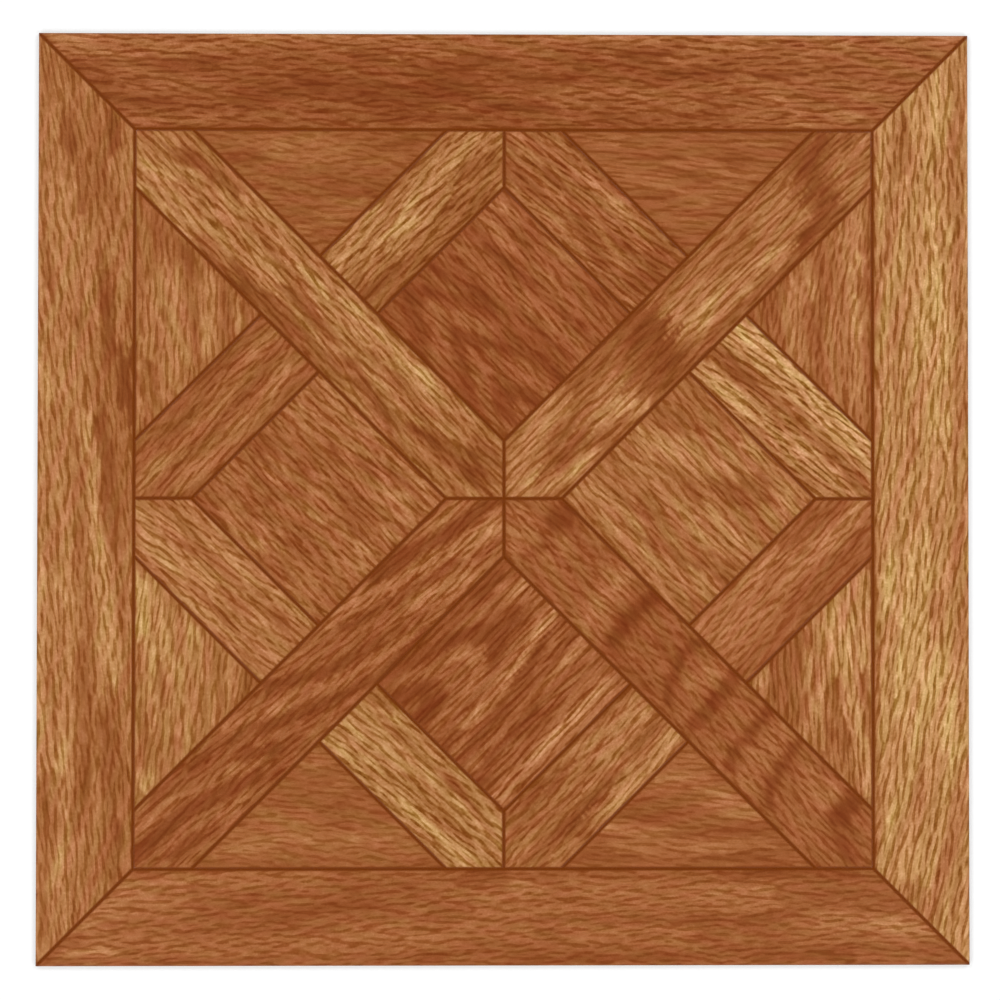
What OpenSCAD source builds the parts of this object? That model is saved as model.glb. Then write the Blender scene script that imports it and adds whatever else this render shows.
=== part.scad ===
// Square vinyl floor tile printed as a mitred parquet panel: a border of four
// strips, four diagonal arms that meet at the centre, and a lattice square set
// on its corner between them. The tile is one sheet of vinyl. Its joint lines
// are pressed into the face as shallow grooves, and half such a groove runs
// round the edge, so that two tiles laid side by side share one joint.
// The origin is the centre of the underside, and the print faces up.

/* [Sheet] */
// Side of the square tile, 12 inches
tile_side = 304.8; // [250:0.1:460]
// Thickness of the sheet
tile_thickness = 1.2; // [0.8:0.05:5]

/* [Parquet layout] */
// Width of the four border strips, from the tile's edge to the joint
border_w = 31.5; // [20:0.5:42]
// Width of the four diagonal arms
arm_w = 26.8; // [15:0.1:36]
// Width of the strips of the lattice square
lattice_w = 26.6; // [15:0.1:36]

/* [Joint lines] */
// Width of a joint line at the face
joint_w = 0.9; // [0.5:0.05:2]
// Width of a joint line at its bottom
joint_floor_w = 0.35; // [0.1:0.05:0.45]
// Depth of a joint line below the face
joint_depth = 0.12; // [0.05:0.01:0.3]

/* [Hidden] */

// Half sides of the tile and of the field inside its border
half_side = tile_side / 2;
half_field = half_side - border_w;
// Where an arm's edge crosses a centre line, measured from the tile's centre
arm_reach = arm_w / sqrt(2);
// Where a lattice strip's edges cross a centre line, either side of the field's edge
lattice_reach = lattice_w / sqrt(2);
lattice_inner = half_field - lattice_reach;
lattice_outer = half_field + lattice_reach;

// The point where a lattice edge, x + y = reach, ends against an arm's edge, x - y = arm_reach
function meets_arm(reach) = [(reach + arm_reach) / 2, (reach - arm_reach) / 2];

// A groove pressed along the face from one point to another, with sloping sides and a narrow
// flat bottom. It ends square at both points, and there it lies inside the joints that it meets,
// because no two neighbours round a point are more than half a turn apart.
module joint_line(from, to) {
    run = to - from;
    translate([from.x, from.y, tile_thickness])
        rotate([90, 0, 90 + atan2(run.y, run.x)])
            linear_extrude(height = norm(run))
                polygon([
                    [-joint_floor_w / 2, -joint_depth],
                    [joint_floor_w / 2, -joint_depth],
                    [joint_w - joint_floor_w / 2, joint_depth],
                    [joint_floor_w / 2 - joint_w, joint_depth]
                ]);
}

// The joints of the border strip on the +X side: the strip's inner edge, the tile's own edge
// and the mitre at one corner, which runs on past the corner.
module border_joints() {
    joint_line([half_field, -half_field], [half_field, half_field]);
    joint_line([half_side, -half_side - joint_w], [half_side, half_side + joint_w]);
    joint_line([half_field, half_field], [half_side + joint_w, half_side + joint_w]);
}

// The joints on the centre line towards +X: the mitre between two arms, and the mitre between
// two lattice strips.
module centre_line_joints() {
    joint_line([0, 0], [arm_reach, 0]);
    joint_line([lattice_inner, 0], [half_field, 0]);
}

// The joints between the centre line and the corner diagonal: one edge of the arm, and the
// inner and outer edges of the lattice strip that stops against it.
module octant_joints() {
    joint_line([arm_reach, 0], [half_field, half_field - arm_reach]);
    joint_line([lattice_inner, 0], meets_arm(lattice_inner));
    joint_line([half_field, lattice_reach], meets_arm(lattice_outer));
}

// All joints, a quarter of the panel at a time
module parquet_joints() {
    for (quarter = [0:3])
        rotate(90 * quarter) {
            border_joints();
            centre_line_joints();
            octant_joints();
            mirror([0, 1, 0]) octant_joints();
        }
}

module floor_tile() {
    color("sienna")
        difference() {
            translate([-half_side, -half_side, 0])
                cube([tile_side, tile_side, tile_thickness]);
            parquet_joints();
        }
}

floor_tile();
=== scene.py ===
"""Vinyl floor tile printed as a mitred parquet panel, dressed for rendering.

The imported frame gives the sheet: its outline, its thickness and its pressed joint lines. This
script replaces that plain sheet by one closed mesh of the same shape, fine enough to hold a
shallow relief and the figure of the printed wood, and gives it three vinyl finishes: the
printed face, the die-cut edge and the calendered back. Lengths are in millimetres until a
mesh is made from them.
"""

import logging
import math
from dataclasses import dataclass, field
from enum import Enum

import bpy
import numpy as np
from mathutils import Euler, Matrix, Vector
from mathutils.geometry import delaunay_2d_cdt

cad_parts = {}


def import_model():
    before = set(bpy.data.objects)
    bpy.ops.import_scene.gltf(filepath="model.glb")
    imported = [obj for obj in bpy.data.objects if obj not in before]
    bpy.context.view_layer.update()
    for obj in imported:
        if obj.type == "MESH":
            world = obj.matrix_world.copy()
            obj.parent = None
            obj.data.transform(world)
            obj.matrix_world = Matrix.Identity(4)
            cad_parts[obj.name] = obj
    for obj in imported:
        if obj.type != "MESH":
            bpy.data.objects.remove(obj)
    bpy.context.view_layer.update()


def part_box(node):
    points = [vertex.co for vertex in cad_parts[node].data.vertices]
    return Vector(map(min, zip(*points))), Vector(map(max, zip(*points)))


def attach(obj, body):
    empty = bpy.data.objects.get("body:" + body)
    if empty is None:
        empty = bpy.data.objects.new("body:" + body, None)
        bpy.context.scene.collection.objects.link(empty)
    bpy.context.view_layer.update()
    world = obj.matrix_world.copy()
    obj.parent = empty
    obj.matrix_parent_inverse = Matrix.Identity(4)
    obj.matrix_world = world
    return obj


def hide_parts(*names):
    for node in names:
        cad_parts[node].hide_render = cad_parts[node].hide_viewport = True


LOG = logging.getLogger("floor_tile")
MM = 0.001
TILE_NODE = "floor_tile"
# The largest value of a colour's channel, which is also the tone of white
WHITE = 255
# Length in millimetres along which Board.bend is counted
BEND_RUN = 100.0
# The sheet's parts, as its materials are numbered
FACE, SIDE, BACK = range(3)
# Points of a mesh that are nearer than this count as one
SNAP = 1e-5
# Shortest stroke, squared, that a share along it can be worked out for
NO_LENGTH = 1e-9
# Numbers of a Mix node's sockets for colours: the two that go in, and the one that comes out
MIX_A, MIX_B, MIXED = 6, 7, 2
Array = np.ndarray
Point = tuple[float, float]
Quad = tuple[int, int, int, int]
Triangle = tuple[int, int, int]
Tint = tuple[float, float, float, float]
Tree = bpy.types.NodeTree
Socket = bpy.types.NodeSocket


def linear(code: str) -> Tint:
    """Turns an sRGB hex colour into linear light, by the curve that defines sRGB.

    Args:
        code: The colour as six hex digits after a hash sign.

    Returns:
        Red, green, blue and an alpha of 1.
    """
    parts = [int(code[i : i + 2], 16) / WHITE for i in (1, 3, 5)]
    light = [c / 12.92 if c <= 0.04045 else ((c + 0.055) / 1.055) ** 2.4 for c in parts]
    return (light[0], light[1], light[2], 1.0)


def add_node(tree: Tree, kind: str, settings: dict, inputs: dict) -> bpy.types.Node:
    """Adds a node to a tree, with its settings and what feeds it.

    Args:
        tree: The tree that gets the node.
        kind: The node's type name in Blender.
        settings: Values for the node's own properties.
        inputs: For an input's name or number, the value it holds or the socket linked to it.

    Returns:
        The new node.
    """
    node = tree.nodes.new(kind)
    for name, value in settings.items():
        setattr(node, name, value)
    for key, value in inputs.items():
        if isinstance(value, Socket):
            tree.links.new(value, node.inputs[key])
        else:
            node.inputs[key].default_value = value
    return node


def new_material(name: str) -> tuple[bpy.types.Material, Tree]:
    """Makes a material with an empty node tree.

    Args:
        name: The material's name.

    Returns:
        The material and its node tree.
    """
    material = bpy.data.materials.new(name)
    material.use_nodes = True
    material.node_tree.nodes.clear()
    return material, material.node_tree


class Tone(Enum):
    """Lightness steps of the printed wood, on a scale on which 0 is black and 255 is white."""

    UMBER = 84
    WALNUT = 90
    CHESTNUT = 98
    RUSSET = 106
    COPPER = 114
    TAN = 122
    HONEY = 131
    STRAW = 141
    CREAM = 152


UMBER, WALNUT, CHESTNUT, RUSSET, COPPER, TAN, HONEY, STRAW, CREAM = Tone


class Cut(Enum):
    """The shapes that the boards of the parquet are cut to."""

    BORDER = "border strip"
    ARM = "diagonal arm"
    LATTICE = "lattice strip"
    SQUARE = "square"
    TRIANGLE = "triangle"


@dataclass(frozen=True)
class Streak:
    """A streak or patch in the wood: a soft-edged stroke of one tone through a few points.

    The points are in the board's own frame, u along its grain and v across it.
    """

    tone: Tone
    width: float
    points: tuple[Point, ...]

    def cover(self, u: Array, v: Array, softness: float) -> Array:
        """Tells how much of the streak's tone shows at each place.

        Args:
            u: Places along the grain.
            v: Places across the grain.
            softness: Width of the streak's faded edge.

        Returns:
            Values from 0 outside the streak to 1 inside it.
        """
        path = self.points if len(self.points) > 1 else self.points * 2
        away = np.full(u.shape, np.inf)
        for (u0, v0), (u1, v1) in zip(path, path[1:]):
            du, dv = u1 - u0, v1 - v0
            length2 = max(du * du + dv * dv, NO_LENGTH)
            share = np.clip(((u - u0) * du + (v - v0) * dv) / length2, 0.0, 1.0)
            away = np.minimum(away, np.hypot(u - u0 - share * du, v - v0 - share * dv))
        inside = np.clip(0.5 + (self.width / 2 - away) / softness, 0.0, 1.0)
        return inside * inside * (3.0 - 2.0 * inside)


def streak(tone: Tone, width: float, *points: Point) -> Streak:
    """Makes a streak, with its points written one after another."""
    return Streak(tone, width, points)


@dataclass(frozen=True)
class Board:
    """One printed board of the parquet.

    lean is the angle in degrees between the flecks and the board's u axis, and bend is how much
    that angle changes along 100 mm. gilt runs from reddish, -1, to golden, 1. contrast scales
    the flecks, fleck is their length, and ragged tells how frayed the streaks' ends are.
    """

    cut: Cut
    quarter: int
    tone: Tone
    mirrored: bool = False
    lean: float = 0.0
    bend: float = 0.0
    gilt: float = 0.0
    contrast: float = 1.0
    fleck: float = 5.0
    ragged: float = 1.0
    streaks: tuple[Streak, ...] = ()


BORDERS = (
    Board(Cut.BORDER, 0, STRAW, lean=-5, bend=5, gilt=0.3, contrast=1.07, streaks=(
        streak(HONEY, 9, (-130, -8), (-100, -12)), streak(TAN, 3, (-118, -9), (-106, -12)),
        streak(TAN, 6, (-136, -4), (-128, 3)), streak(HONEY, 3.5, (26, 7), (42, 8)),
        streak(HONEY, 3.5, (76, 11), (95, 10), (125, 7)), streak(HONEY, 5, (-50, -13), (0, -12)),
        streak(HONEY, 5, (0, -13), (60, -13), (100, -12), (150, -14)),
        streak(CREAM, 13, (-76, -3), (-52, -1)), streak(CREAM, 5, (-82, -11), (-58, -9)),
        streak(CREAM, 5, (-75, 5), (-55, 8)), streak(CREAM, 8, (-48, 2), (-14, 0)),
        streak(CREAM, 7.5, (-36, 8), (-22, 9)), streak(CREAM, 9, (44, -5), (74, -5)),
        streak(CREAM, 5, (17, -7), (28, -7)), streak(CREAM, 4, (52, 1), (66, 0)),
        streak(CREAM, 3, (-105, 10), (-98, 8)), streak(CREAM, 4.5, (86, -3), (100, -4)),
        streak(CREAM, 3, (120, -5), (140, -5)), streak(TAN, 4, (108, 5), (125, 5)),
        streak(TAN, 3, (34, 7), (39, 7)), streak(TAN, 3, (12, 2), (17, 2)),
        streak(TAN, 2, (-20, -12), (-14, -12)), streak(TAN, 2.5, (103, -11), (125, -11)),
        streak(TAN, 2.5, (78, 11), (86, 10)), streak(TAN, 3, (105, 9), (112, 9)),
        streak(HONEY, 3, (-100, 3), (-92, 0)), streak(HONEY, 3, (-38, -5), (-30, -4)),
        streak(TAN, 2, (-120, 15), (125, 15)),
    )),
    Board(Cut.BORDER, 1, CHESTNUT, lean=-1, gilt=-0.2, contrast=1.18, ragged=0.7, streaks=(
        streak(RUSSET, 22, (80, -3), (140, -2)), streak(RUSSET, 8, (-150, 12), (150, 12)),
        streak(COPPER, 7, (-145, 11), (-105, 11)), streak(COPPER, 4, (-100, 14), (-60, 15)),
        streak(TAN, 3, (-146, 15), (-136, 14)), streak(COPPER, 2, (-60, 15), (150, 15)),
        streak(COPPER, 4, (62, 12), (80, 11)), streak(COPPER, 4, (100, 12), (132, 11)),
        streak(COPPER, 5, (95, -12), (115, -11)), streak(COPPER, 2.5, (84, -5), (92, -6)),
        streak(RUSSET, 3, (-124, -2), (-105, -1)), streak(RUSSET, 4, (-122, -12), (-95, -12)),
        streak(RUSSET, 4, (-125, 3), (-112, 5)), streak(WALNUT, 3, (-132, -6), (-108, -7)),
        streak(WALNUT, 3, (-118, 7), (-92, 6)), streak(WALNUT, 3, (-142, 5), (-137, 4)),
        streak(WALNUT, 8, (-85, -7), (-65, 0), (-52, -2), (-30, -5), (-10, -2)),
        streak(UMBER, 3.5, (-69, 1), (-60, -2)), streak(UMBER, 2.5, (-48, -4), (-42, -4.5)),
        streak(UMBER, 4, (-22, -1), (-15, -1)), streak(WALNUT, 4, (-50, 8), (-35, 8)),
        streak(WALNUT, 3.5, (-28, 4), (-12, 3)), streak(WALNUT, 3, (-15, 8), (0, 7)),
        streak(WALNUT, 4, (2, 2), (20, 1), (27, 6)), streak(WALNUT, 4, (40, 8), (52, 9)),
        streak(WALNUT, 3.5, (54, 3), (62, 3)), streak(WALNUT, 3, (67, 4), (75, 3)),
        streak(WALNUT, 3, (84, 2), (96, 3)), streak(WALNUT, 3, (-5, -8), (15, -8)),
        streak(WALNUT, 3, (-45, -9), (-28, -8)), streak(WALNUT, 3, (-40, -12), (-10, -12)),
        streak(RUSSET, 8, (20, -5), (62, -6)), streak(WALNUT, 2.5, (30, -11), (36, -11)),
        streak(RUSSET, 3, (-38, 5), (-36, 8)), streak(RUSSET, 3, (58, 7), (66, 8)),
    )),
    Board(Cut.BORDER, 2, TAN, lean=5, bend=1, gilt=0.2, contrast=0.95, streaks=(
        streak(HONEY, 13, (-90, 9), (-40, 9.5), (98, 9)), streak(HONEY, 8, (-138, 9), (-110, 6)),
        streak(HONEY, 3, (-110, 4), (-95, 8)), streak(STRAW, 3, (-124, 8), (-116, 8)),
        streak(STRAW, 4, (-88, 8), (-81, 8)), streak(STRAW, 3, (-80, 15), (-20, 15)),
        streak(STRAW, 4, (34, 12), (46, 14)), streak(STRAW, 3, (-32, 7), (-24, 8)),
        streak(HONEY, 9, (-62, -8), (-30, -7), (0, -4), (25, -1)),
        streak(STRAW, 5.5, (-62, -9), (-40, -7), (-20, -4), (5, -3), (24, -1)),
        streak(COPPER, 5, (-108, 2), (-85, 0), (-52, 1)), streak(RUSSET, 2.5, (-98, -1), (-86, -1)),
        streak(RUSSET, 2.5, (-62, 2), (-50, 2)), streak(COPPER, 8, (-122, -9), (-100, -10), (-66, -8)),
        streak(RUSSET, 4, (-86, -8), (-72, -6)), streak(CHESTNUT, 2, (-113, -11), (-105, -11)),
        streak(COPPER, 12, (-12, -11), (30, -10), (62, -9)), streak(RUSSET, 6, (-5, -9), (25, -6)),
        streak(RUSSET, 6, (45, -9), (75, -5)), streak(CHESTNUT, 3.5, (4, -8), (17, -7)),
        streak(CHESTNUT, 3, (20, -5), (28, -4)), streak(CHESTNUT, 4, (47, -9), (66, -6)),
        streak(WALNUT, 5, (29, -14), (40, -12), (47, -14)), streak(COPPER, 10, (100, -3), (128, 1)),
        streak(RUSSET, 3.5, (112, 6), (126, 7)), streak(CHESTNUT, 3, (114, 5), (118, 5)),
        streak(CHESTNUT, 5, (116, -9), (123, -8)), streak(RUSSET, 3, (92, 1), (98, 2)),
        streak(TAN, 5, (52, -12), (97, -11)), streak(HONEY, 2.5, (80, -9), (90, -9)),
        streak(HONEY, 5, (60, -3), (90, 2)), streak(COPPER, 3, (125, 13), (148, 11)),
        streak(COPPER, 3, (68, 12), (85, 13)), streak(COPPER, 3, (52, 3), (60, 2)),
        streak(COPPER, 3, (-145, 13), (-90, 13)), streak(COPPER, 3, (-20, 2), (20, 3)),
    )),
    Board(Cut.BORDER, 3, RUSSET, lean=2, bend=-2, gilt=-0.25, contrast=0.86, fleck=4.2, streaks=(
        streak(COPPER, 15, (-132, -2), (-110, 4)), streak(TAN, 8, (-137, -2), (-118, 7)),
        streak(HONEY, 3, (-141, -11), (-120, -11)), streak(TAN, 6, (-125, 9), (-106, 11)),
        streak(COPPER, 7, (-125, -10), (-60, -9), (-20, -7)), streak(CHESTNUT, 3, (-88, 5), (-80, 6)),
        streak(COPPER, 5, (-100, 12), (-60, 12)), streak(CHESTNUT, 4, (-74, 0), (-60, 3), (-40, 5)),
        streak(CHESTNUT, 3, (-52, 8), (-45, 7)), streak(CHESTNUT, 3, (-36, 10), (-28, 10)),
        streak(CHESTNUT, 4, (-14, 11), (0, 14)), streak(WALNUT, 3, (-9, 15), (-2, 15)),
        streak(CHESTNUT, 4, (72, 14), (115, 14)), streak(WALNUT, 2.5, (78, 15), (92, 14)),
        streak(CHESTNUT, 3, (-30, -13), (-20, -13)), streak(CHESTNUT, 3, (0, -14), (60, -13)),
        streak(CHESTNUT, 4, (82, -13), (112, -12)), streak(CHESTNUT, 2.5, (42, -1), (90, -1)),
        streak(COPPER, 11, (-5, 5), (35, 7), (84, 6)), streak(TAN, 4, (3, 9), (14, 9)),
        streak(TAN, 4, (68, 8), (86, 8)), streak(COPPER, 6, (-50, -4), (20, -5), (60, -6)),
        streak(CHESTNUT, 2.5, (12, -5), (18, -4)), streak(COPPER, 11, (100, -3), (142, -3)),
        streak(TAN, 6.5, (106, -2), (136, -3)), streak(HONEY, 2, (120, -3), (128, -3)),
        streak(COPPER, 3, (-30, 2), (-10, 9)), streak(RUSSET, 4, (95, 7), (118, 10)),
    )),
)

ARMS = (
    Board(Cut.ARM, 0, COPPER, lean=-1.5, gilt=0.1, fleck=6.5, streaks=(
        streak(TAN, 16, (-78, -1), (-70, 2)), streak(HONEY, 8, (-80, -2), (-75, 5), (-62, 9), (-52, 9)),
        streak(STRAW, 3, (-78, -1), (-73, -2)), streak(HONEY, 5.5, (-74, -7), (-62, -11), (-54, -10)),
        streak(STRAW, 2, (-64, -10.5), (-57, -10.5)), streak(RUSSET, 3.5, (-69, -4), (-60, -4), (-49, -7)),
        streak(CHESTNUT, 2.5, (-67, -5), (-61, -4.5)), streak(RUSSET, 3, (-65, 0.5), (-52, 1)),
        streak(HONEY, 8.5, (-46, -3), (-38, -4), (-32, -9)), streak(STRAW, 2.5, (-42, -3), (-34, -8)),
        streak(TAN, 5, (-40, 2), (-30, 2)),
        streak(RUSSET, 8, (-42, 10), (-26, 8)), streak(RUSSET, 24, (-18, 7), (-19, -7)),
        streak(CHESTNUT, 17, (-15, 7), (-18, -5)), streak(WALNUT, 9, (-17, 6), (-12, 5), (-13, 0)),
        streak(WALNUT, 5, (-19, -5), (-15, -6)), streak(TAN, 18, (0, 0), (30, 3), (46, 2)),
        streak(COPPER, 4, (14, 3), (33, 6)), streak(RUSSET, 1.5, (24, 4.5), (27, 4.5)),
        streak(HONEY, 10, (-1, -2), (12, -3), (18, -5)), streak(STRAW, 5, (-1, -4), (8, -2)),
        streak(HONEY, 7, (26, -4), (37, -8)), streak(STRAW, 2, (31, -6), (33, -4)),
        streak(RUSSET, 3, (-4, -11), (38, -11.5)), streak(RUSSET, 15, (62, 9), (57, -8)),
        streak(CHESTNUT, 10, (63, 9), (58, 2), (57, -7)), streak(WALNUT, 5, (58, -1), (58, -6)),
        streak(WALNUT, 5, (62, 7), (72, 10)), streak(CHESTNUT, 6, (43, -10), (54, -9)),
        streak(WALNUT, 2.5, (44, -9), (48, -9)), streak(TAN, 5, (68, -1), (82, 0)),
        streak(TAN, 8, (66, -8), (71, -10)), streak(RUSSET, 4, (72, 6), (80, 3)),
    )),
    Board(Cut.ARM, 1, TAN, lean=-2.5, gilt=0.35, contrast=1.08, streaks=(
        streak(RUSSET, 8, (-78, 0), (-70, 1), (-50, 4)), streak(CHESTNUT, 3.5, (-76, 1), (-65, 2), (-50, 4)),
        streak(WALNUT, 3.5, (-73, 2), (-72, -4)), streak(WALNUT, 2, (-62, 3.5), (-53, 3.5)),
        streak(RUSSET, 5, (-76, -6), (-66, -6)), streak(COPPER, 6, (-75, 10), (-50, 9)),
        streak(COPPER, 7, (-48, 9), (-20, 4)), streak(RUSSET, 5, (-45, 8), (-30, 7)),
        streak(CHESTNUT, 2, (-40, 8), (-33, 7)), streak(TAN, 2.5, (-31, 10), (-23, 10)),
        streak(RUSSET, 5, (-27, 6), (-18, 3)), streak(CHESTNUT, 2, (-26, 5), (-20, 3)),
        streak(RUSSET, 8, (-18, 11), (0, 11), (20, 9), (29, 8)),
        streak(CHESTNUT, 6, (0, 12), (12, 10), (26, 8)), streak(WALNUT, 2.5, (21, 12), (27, 12)),
        streak(RUSSET, 3, (30, 12), (70, 12.5)), streak(HONEY, 3, (-9, 5), (-2, 5)),
        streak(COPPER, 5, (-10, 2), (18, 2)), streak(RUSSET, 4.5, (-8, 2), (16, 1.5)),
        streak(CHESTNUT, 2, (-5, 2), (13, 1.5)),
        streak(COPPER, 6, (17, -1), (27, -2)), streak(COPPER, 5, (-45, -3), (-15, -4)),
        streak(RUSSET, 4, (-38, -4), (-15, -5)), streak(HONEY, 7, (-47, -8), (0, -7), (22, -7)),
        streak(STRAW, 4.5, (-44, -8.5), (-28, -8.5)), streak(STRAW, 3.5, (-18, -9), (-4, -8.5)),
        streak(HONEY, 6, (-15, -3), (0, -2)), streak(STRAW, 2.5, (4, -6.5), (13, -6)),
        streak(HONEY, 2.5, (-62, -2), (-54, -2)), streak(HONEY, 4, (-36, 1), (-30, 1)),
        streak(HONEY, 9.5, (20, 3), (38, 1), (50, 3)), streak(HONEY, 17, (52, 7), (62, 5), (71, 4)),
        streak(STRAW, 3, (67, 4), (74, 5.5)), streak(STRAW, 2, (58, 11), (63, 11)),
        streak(RUSSET, 5, (45, -9), (60, -7), (70, -5)), streak(CHESTNUT, 3, (60, -6), (66, -6)),
        streak(HONEY, 4, (42, -3), (50, -5)), streak(HONEY, 4, (74, -7), (79, -4)),
        streak(COPPER, 2, (52, 1), (60, 0)), streak(HONEY, 3, (36, -9), (42, -9)),
    )),
    Board(Cut.ARM, 2, RUSSET, lean=-3, gilt=-0.25, contrast=1.1, ragged=0.3, streaks=(
        streak(COPPER, 7, (-62, 9), (-50, 7), (-42, 4)), streak(TAN, 4, (-60, 9), (-50, 6), (-43, 4)),
        streak(COPPER, 8.5, (-80, 4), (-65, 1), (-48, -4), (-38, -5)),
        streak(TAN, 5.5, (-79, 4), (-65, 1), (-50, -4)), streak(HONEY, 2, (-78, 4), (-74, 4)),
        streak(COPPER, 7.5, (-32, 9), (-12, 6), (-1, 2)),
        streak(COPPER, 6.5, (-42, -7), (-27, -10), (-18, -12)),
        streak(TAN, 3.5, (-32, -10), (-23, -11)), streak(COPPER, 5.5, (8, -2), (20, -6), (30, -10)),
        streak(TAN, 2.5, (11, -2), (18, -5)), streak(COPPER, 5, (34, 4), (39, 0)),
        streak(COPPER, 5.5, (40, 8), (51, 9)), streak(COPPER, 4, (60, -7), (75, -8)),
        streak(COPPER, 3.5, (-2, -11), (8, -12)), streak(COPPER, 4.5, (-75, -10), (-60, -10)),
        streak(CHESTNUT, 5.5, (-86, -2), (-70, -4), (-55, -8), (-40, -11)),
        streak(WALNUT, 4.6, (-84, -2), (-70, -4), (-55, -8), (-40, -11)),
        streak(WALNUT, 4, (-50, -11), (-38, -12)),
        streak(CHESTNUT, 3, (-62, 4), (-50, 1), (-35, -3), (-22, -5), (-19, -8)),
        streak(WALNUT, 2.5, (-36, -3), (-24, -5), (-20, -7)),
        streak(CHESTNUT, 4.5, (-33, 6), (-22, 4), (-10, 1), (0, -4), (12, -11)),
        streak(WALNUT, 4, (-25, 3.5), (-10, 1), (0, -4), (12, -11)),
        streak(CHESTNUT, 4.5, (-14, 11), (0, 7), (12, 1), (24, -3)),
        streak(WALNUT, 3, (-12, 11), (0, 7), (10, 4)), streak(WALNUT, 4.5, (14, 1), (22, -2)),
        streak(CHESTNUT, 4.5, (16, 10), (27, 3), (34, -1)), streak(WALNUT, 4, (23, 6), (28, 2), (32, 0)),
        streak(CHESTNUT, 5.5, (28, 12), (33, 8), (45, 4), (55, 0), (70, -2), (82, -3)),
        streak(WALNUT, 4.3, (34, 7), (45, 4), (56, 0), (70, -2), (82, -3)),
        streak(CHESTNUT, 4, (57, 10), (73, 6)), streak(WALNUT, 3, (62, 7), (73, 6)),
        streak(CHESTNUT, 3, (24, -6), (34, -7), (50, -10), (64, -12)),
        streak(WALNUT, 2, (28, -6.5), (33, -6.5)),
        streak(WALNUT, 2, (40, -10), (49, -10)), streak(WALNUT, 2, (-38, 12), (-14, 12)),
    )),
    Board(Cut.ARM, 3, RUSSET, lean=1.5, bend=-4, gilt=-0.3, fleck=4.0, ragged=0.2, streaks=(
        streak(COPPER, 11, (-41, 11), (-40, 0), (-38, -9)), streak(TAN, 4, (-41, 10), (-40, 0), (-38, -8)),
        streak(COPPER, 6.5, (2, 11), (1, 0)),
        streak(COPPER, 7.5, (32, 11), (33, 0), (36, -9)), streak(COPPER, 9, (50, 5), (56, 3), (57, 10)),
        streak(TAN, 3, (57, 10), (58, 7)), streak(COPPER, 10, (-77, 0), (-70, -8)),
        streak(COPPER, 4, (-63, 4), (-60, 2)), streak(COPPER, 3, (-64, -3), (-60, -5)),
        streak(CHESTNUT, 12, (-67, 11), (-68, 9)), streak(UMBER, 7, (-68, 10), (-69, 7)),
        streak(CHESTNUT, 3, (-66, 0), (-68, -9)), streak(CHESTNUT, 8, (-28, 13), (-29, 2), (-27, -9)),
        streak(UMBER, 4.5, (-29, 13), (-29.5, 2), (-28, -8)), streak(WALNUT, 4, (-8, 12), (-9, 5)),
        streak(WALNUT, 3.5, (-9, 5), (-5, -5), (-1, -9)), streak(UMBER, 2, (-8, 4), (-7, 2)),
        streak(WALNUT, 5, (8, 13), (10, 2), (10, -8)), streak(UMBER, 2.5, (8, 3), (9, 0)),
        streak(WALNUT, 3.5, (24, 13), (25, 3), (25, -5), (28, -10)),
        streak(WALNUT, 3.5, (38, 12), (40, 3), (42, -6), (46, -9)),
        streak(CHESTNUT, 8, (64, 11), (65, 3), (72, 0)), streak(UMBER, 5.5, (65, 9), (65, 3), (67, 2)),
        streak(CHESTNUT, 4, (68, 0), (78, -3)), streak(WALNUT, 3, (70, -1), (77, -3)),
        streak(CHESTNUT, 3, (-18, 3), (-10, 1)), streak(CHESTNUT, 4, (-22, -11), (-8, -12)),
    )),
)

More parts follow.
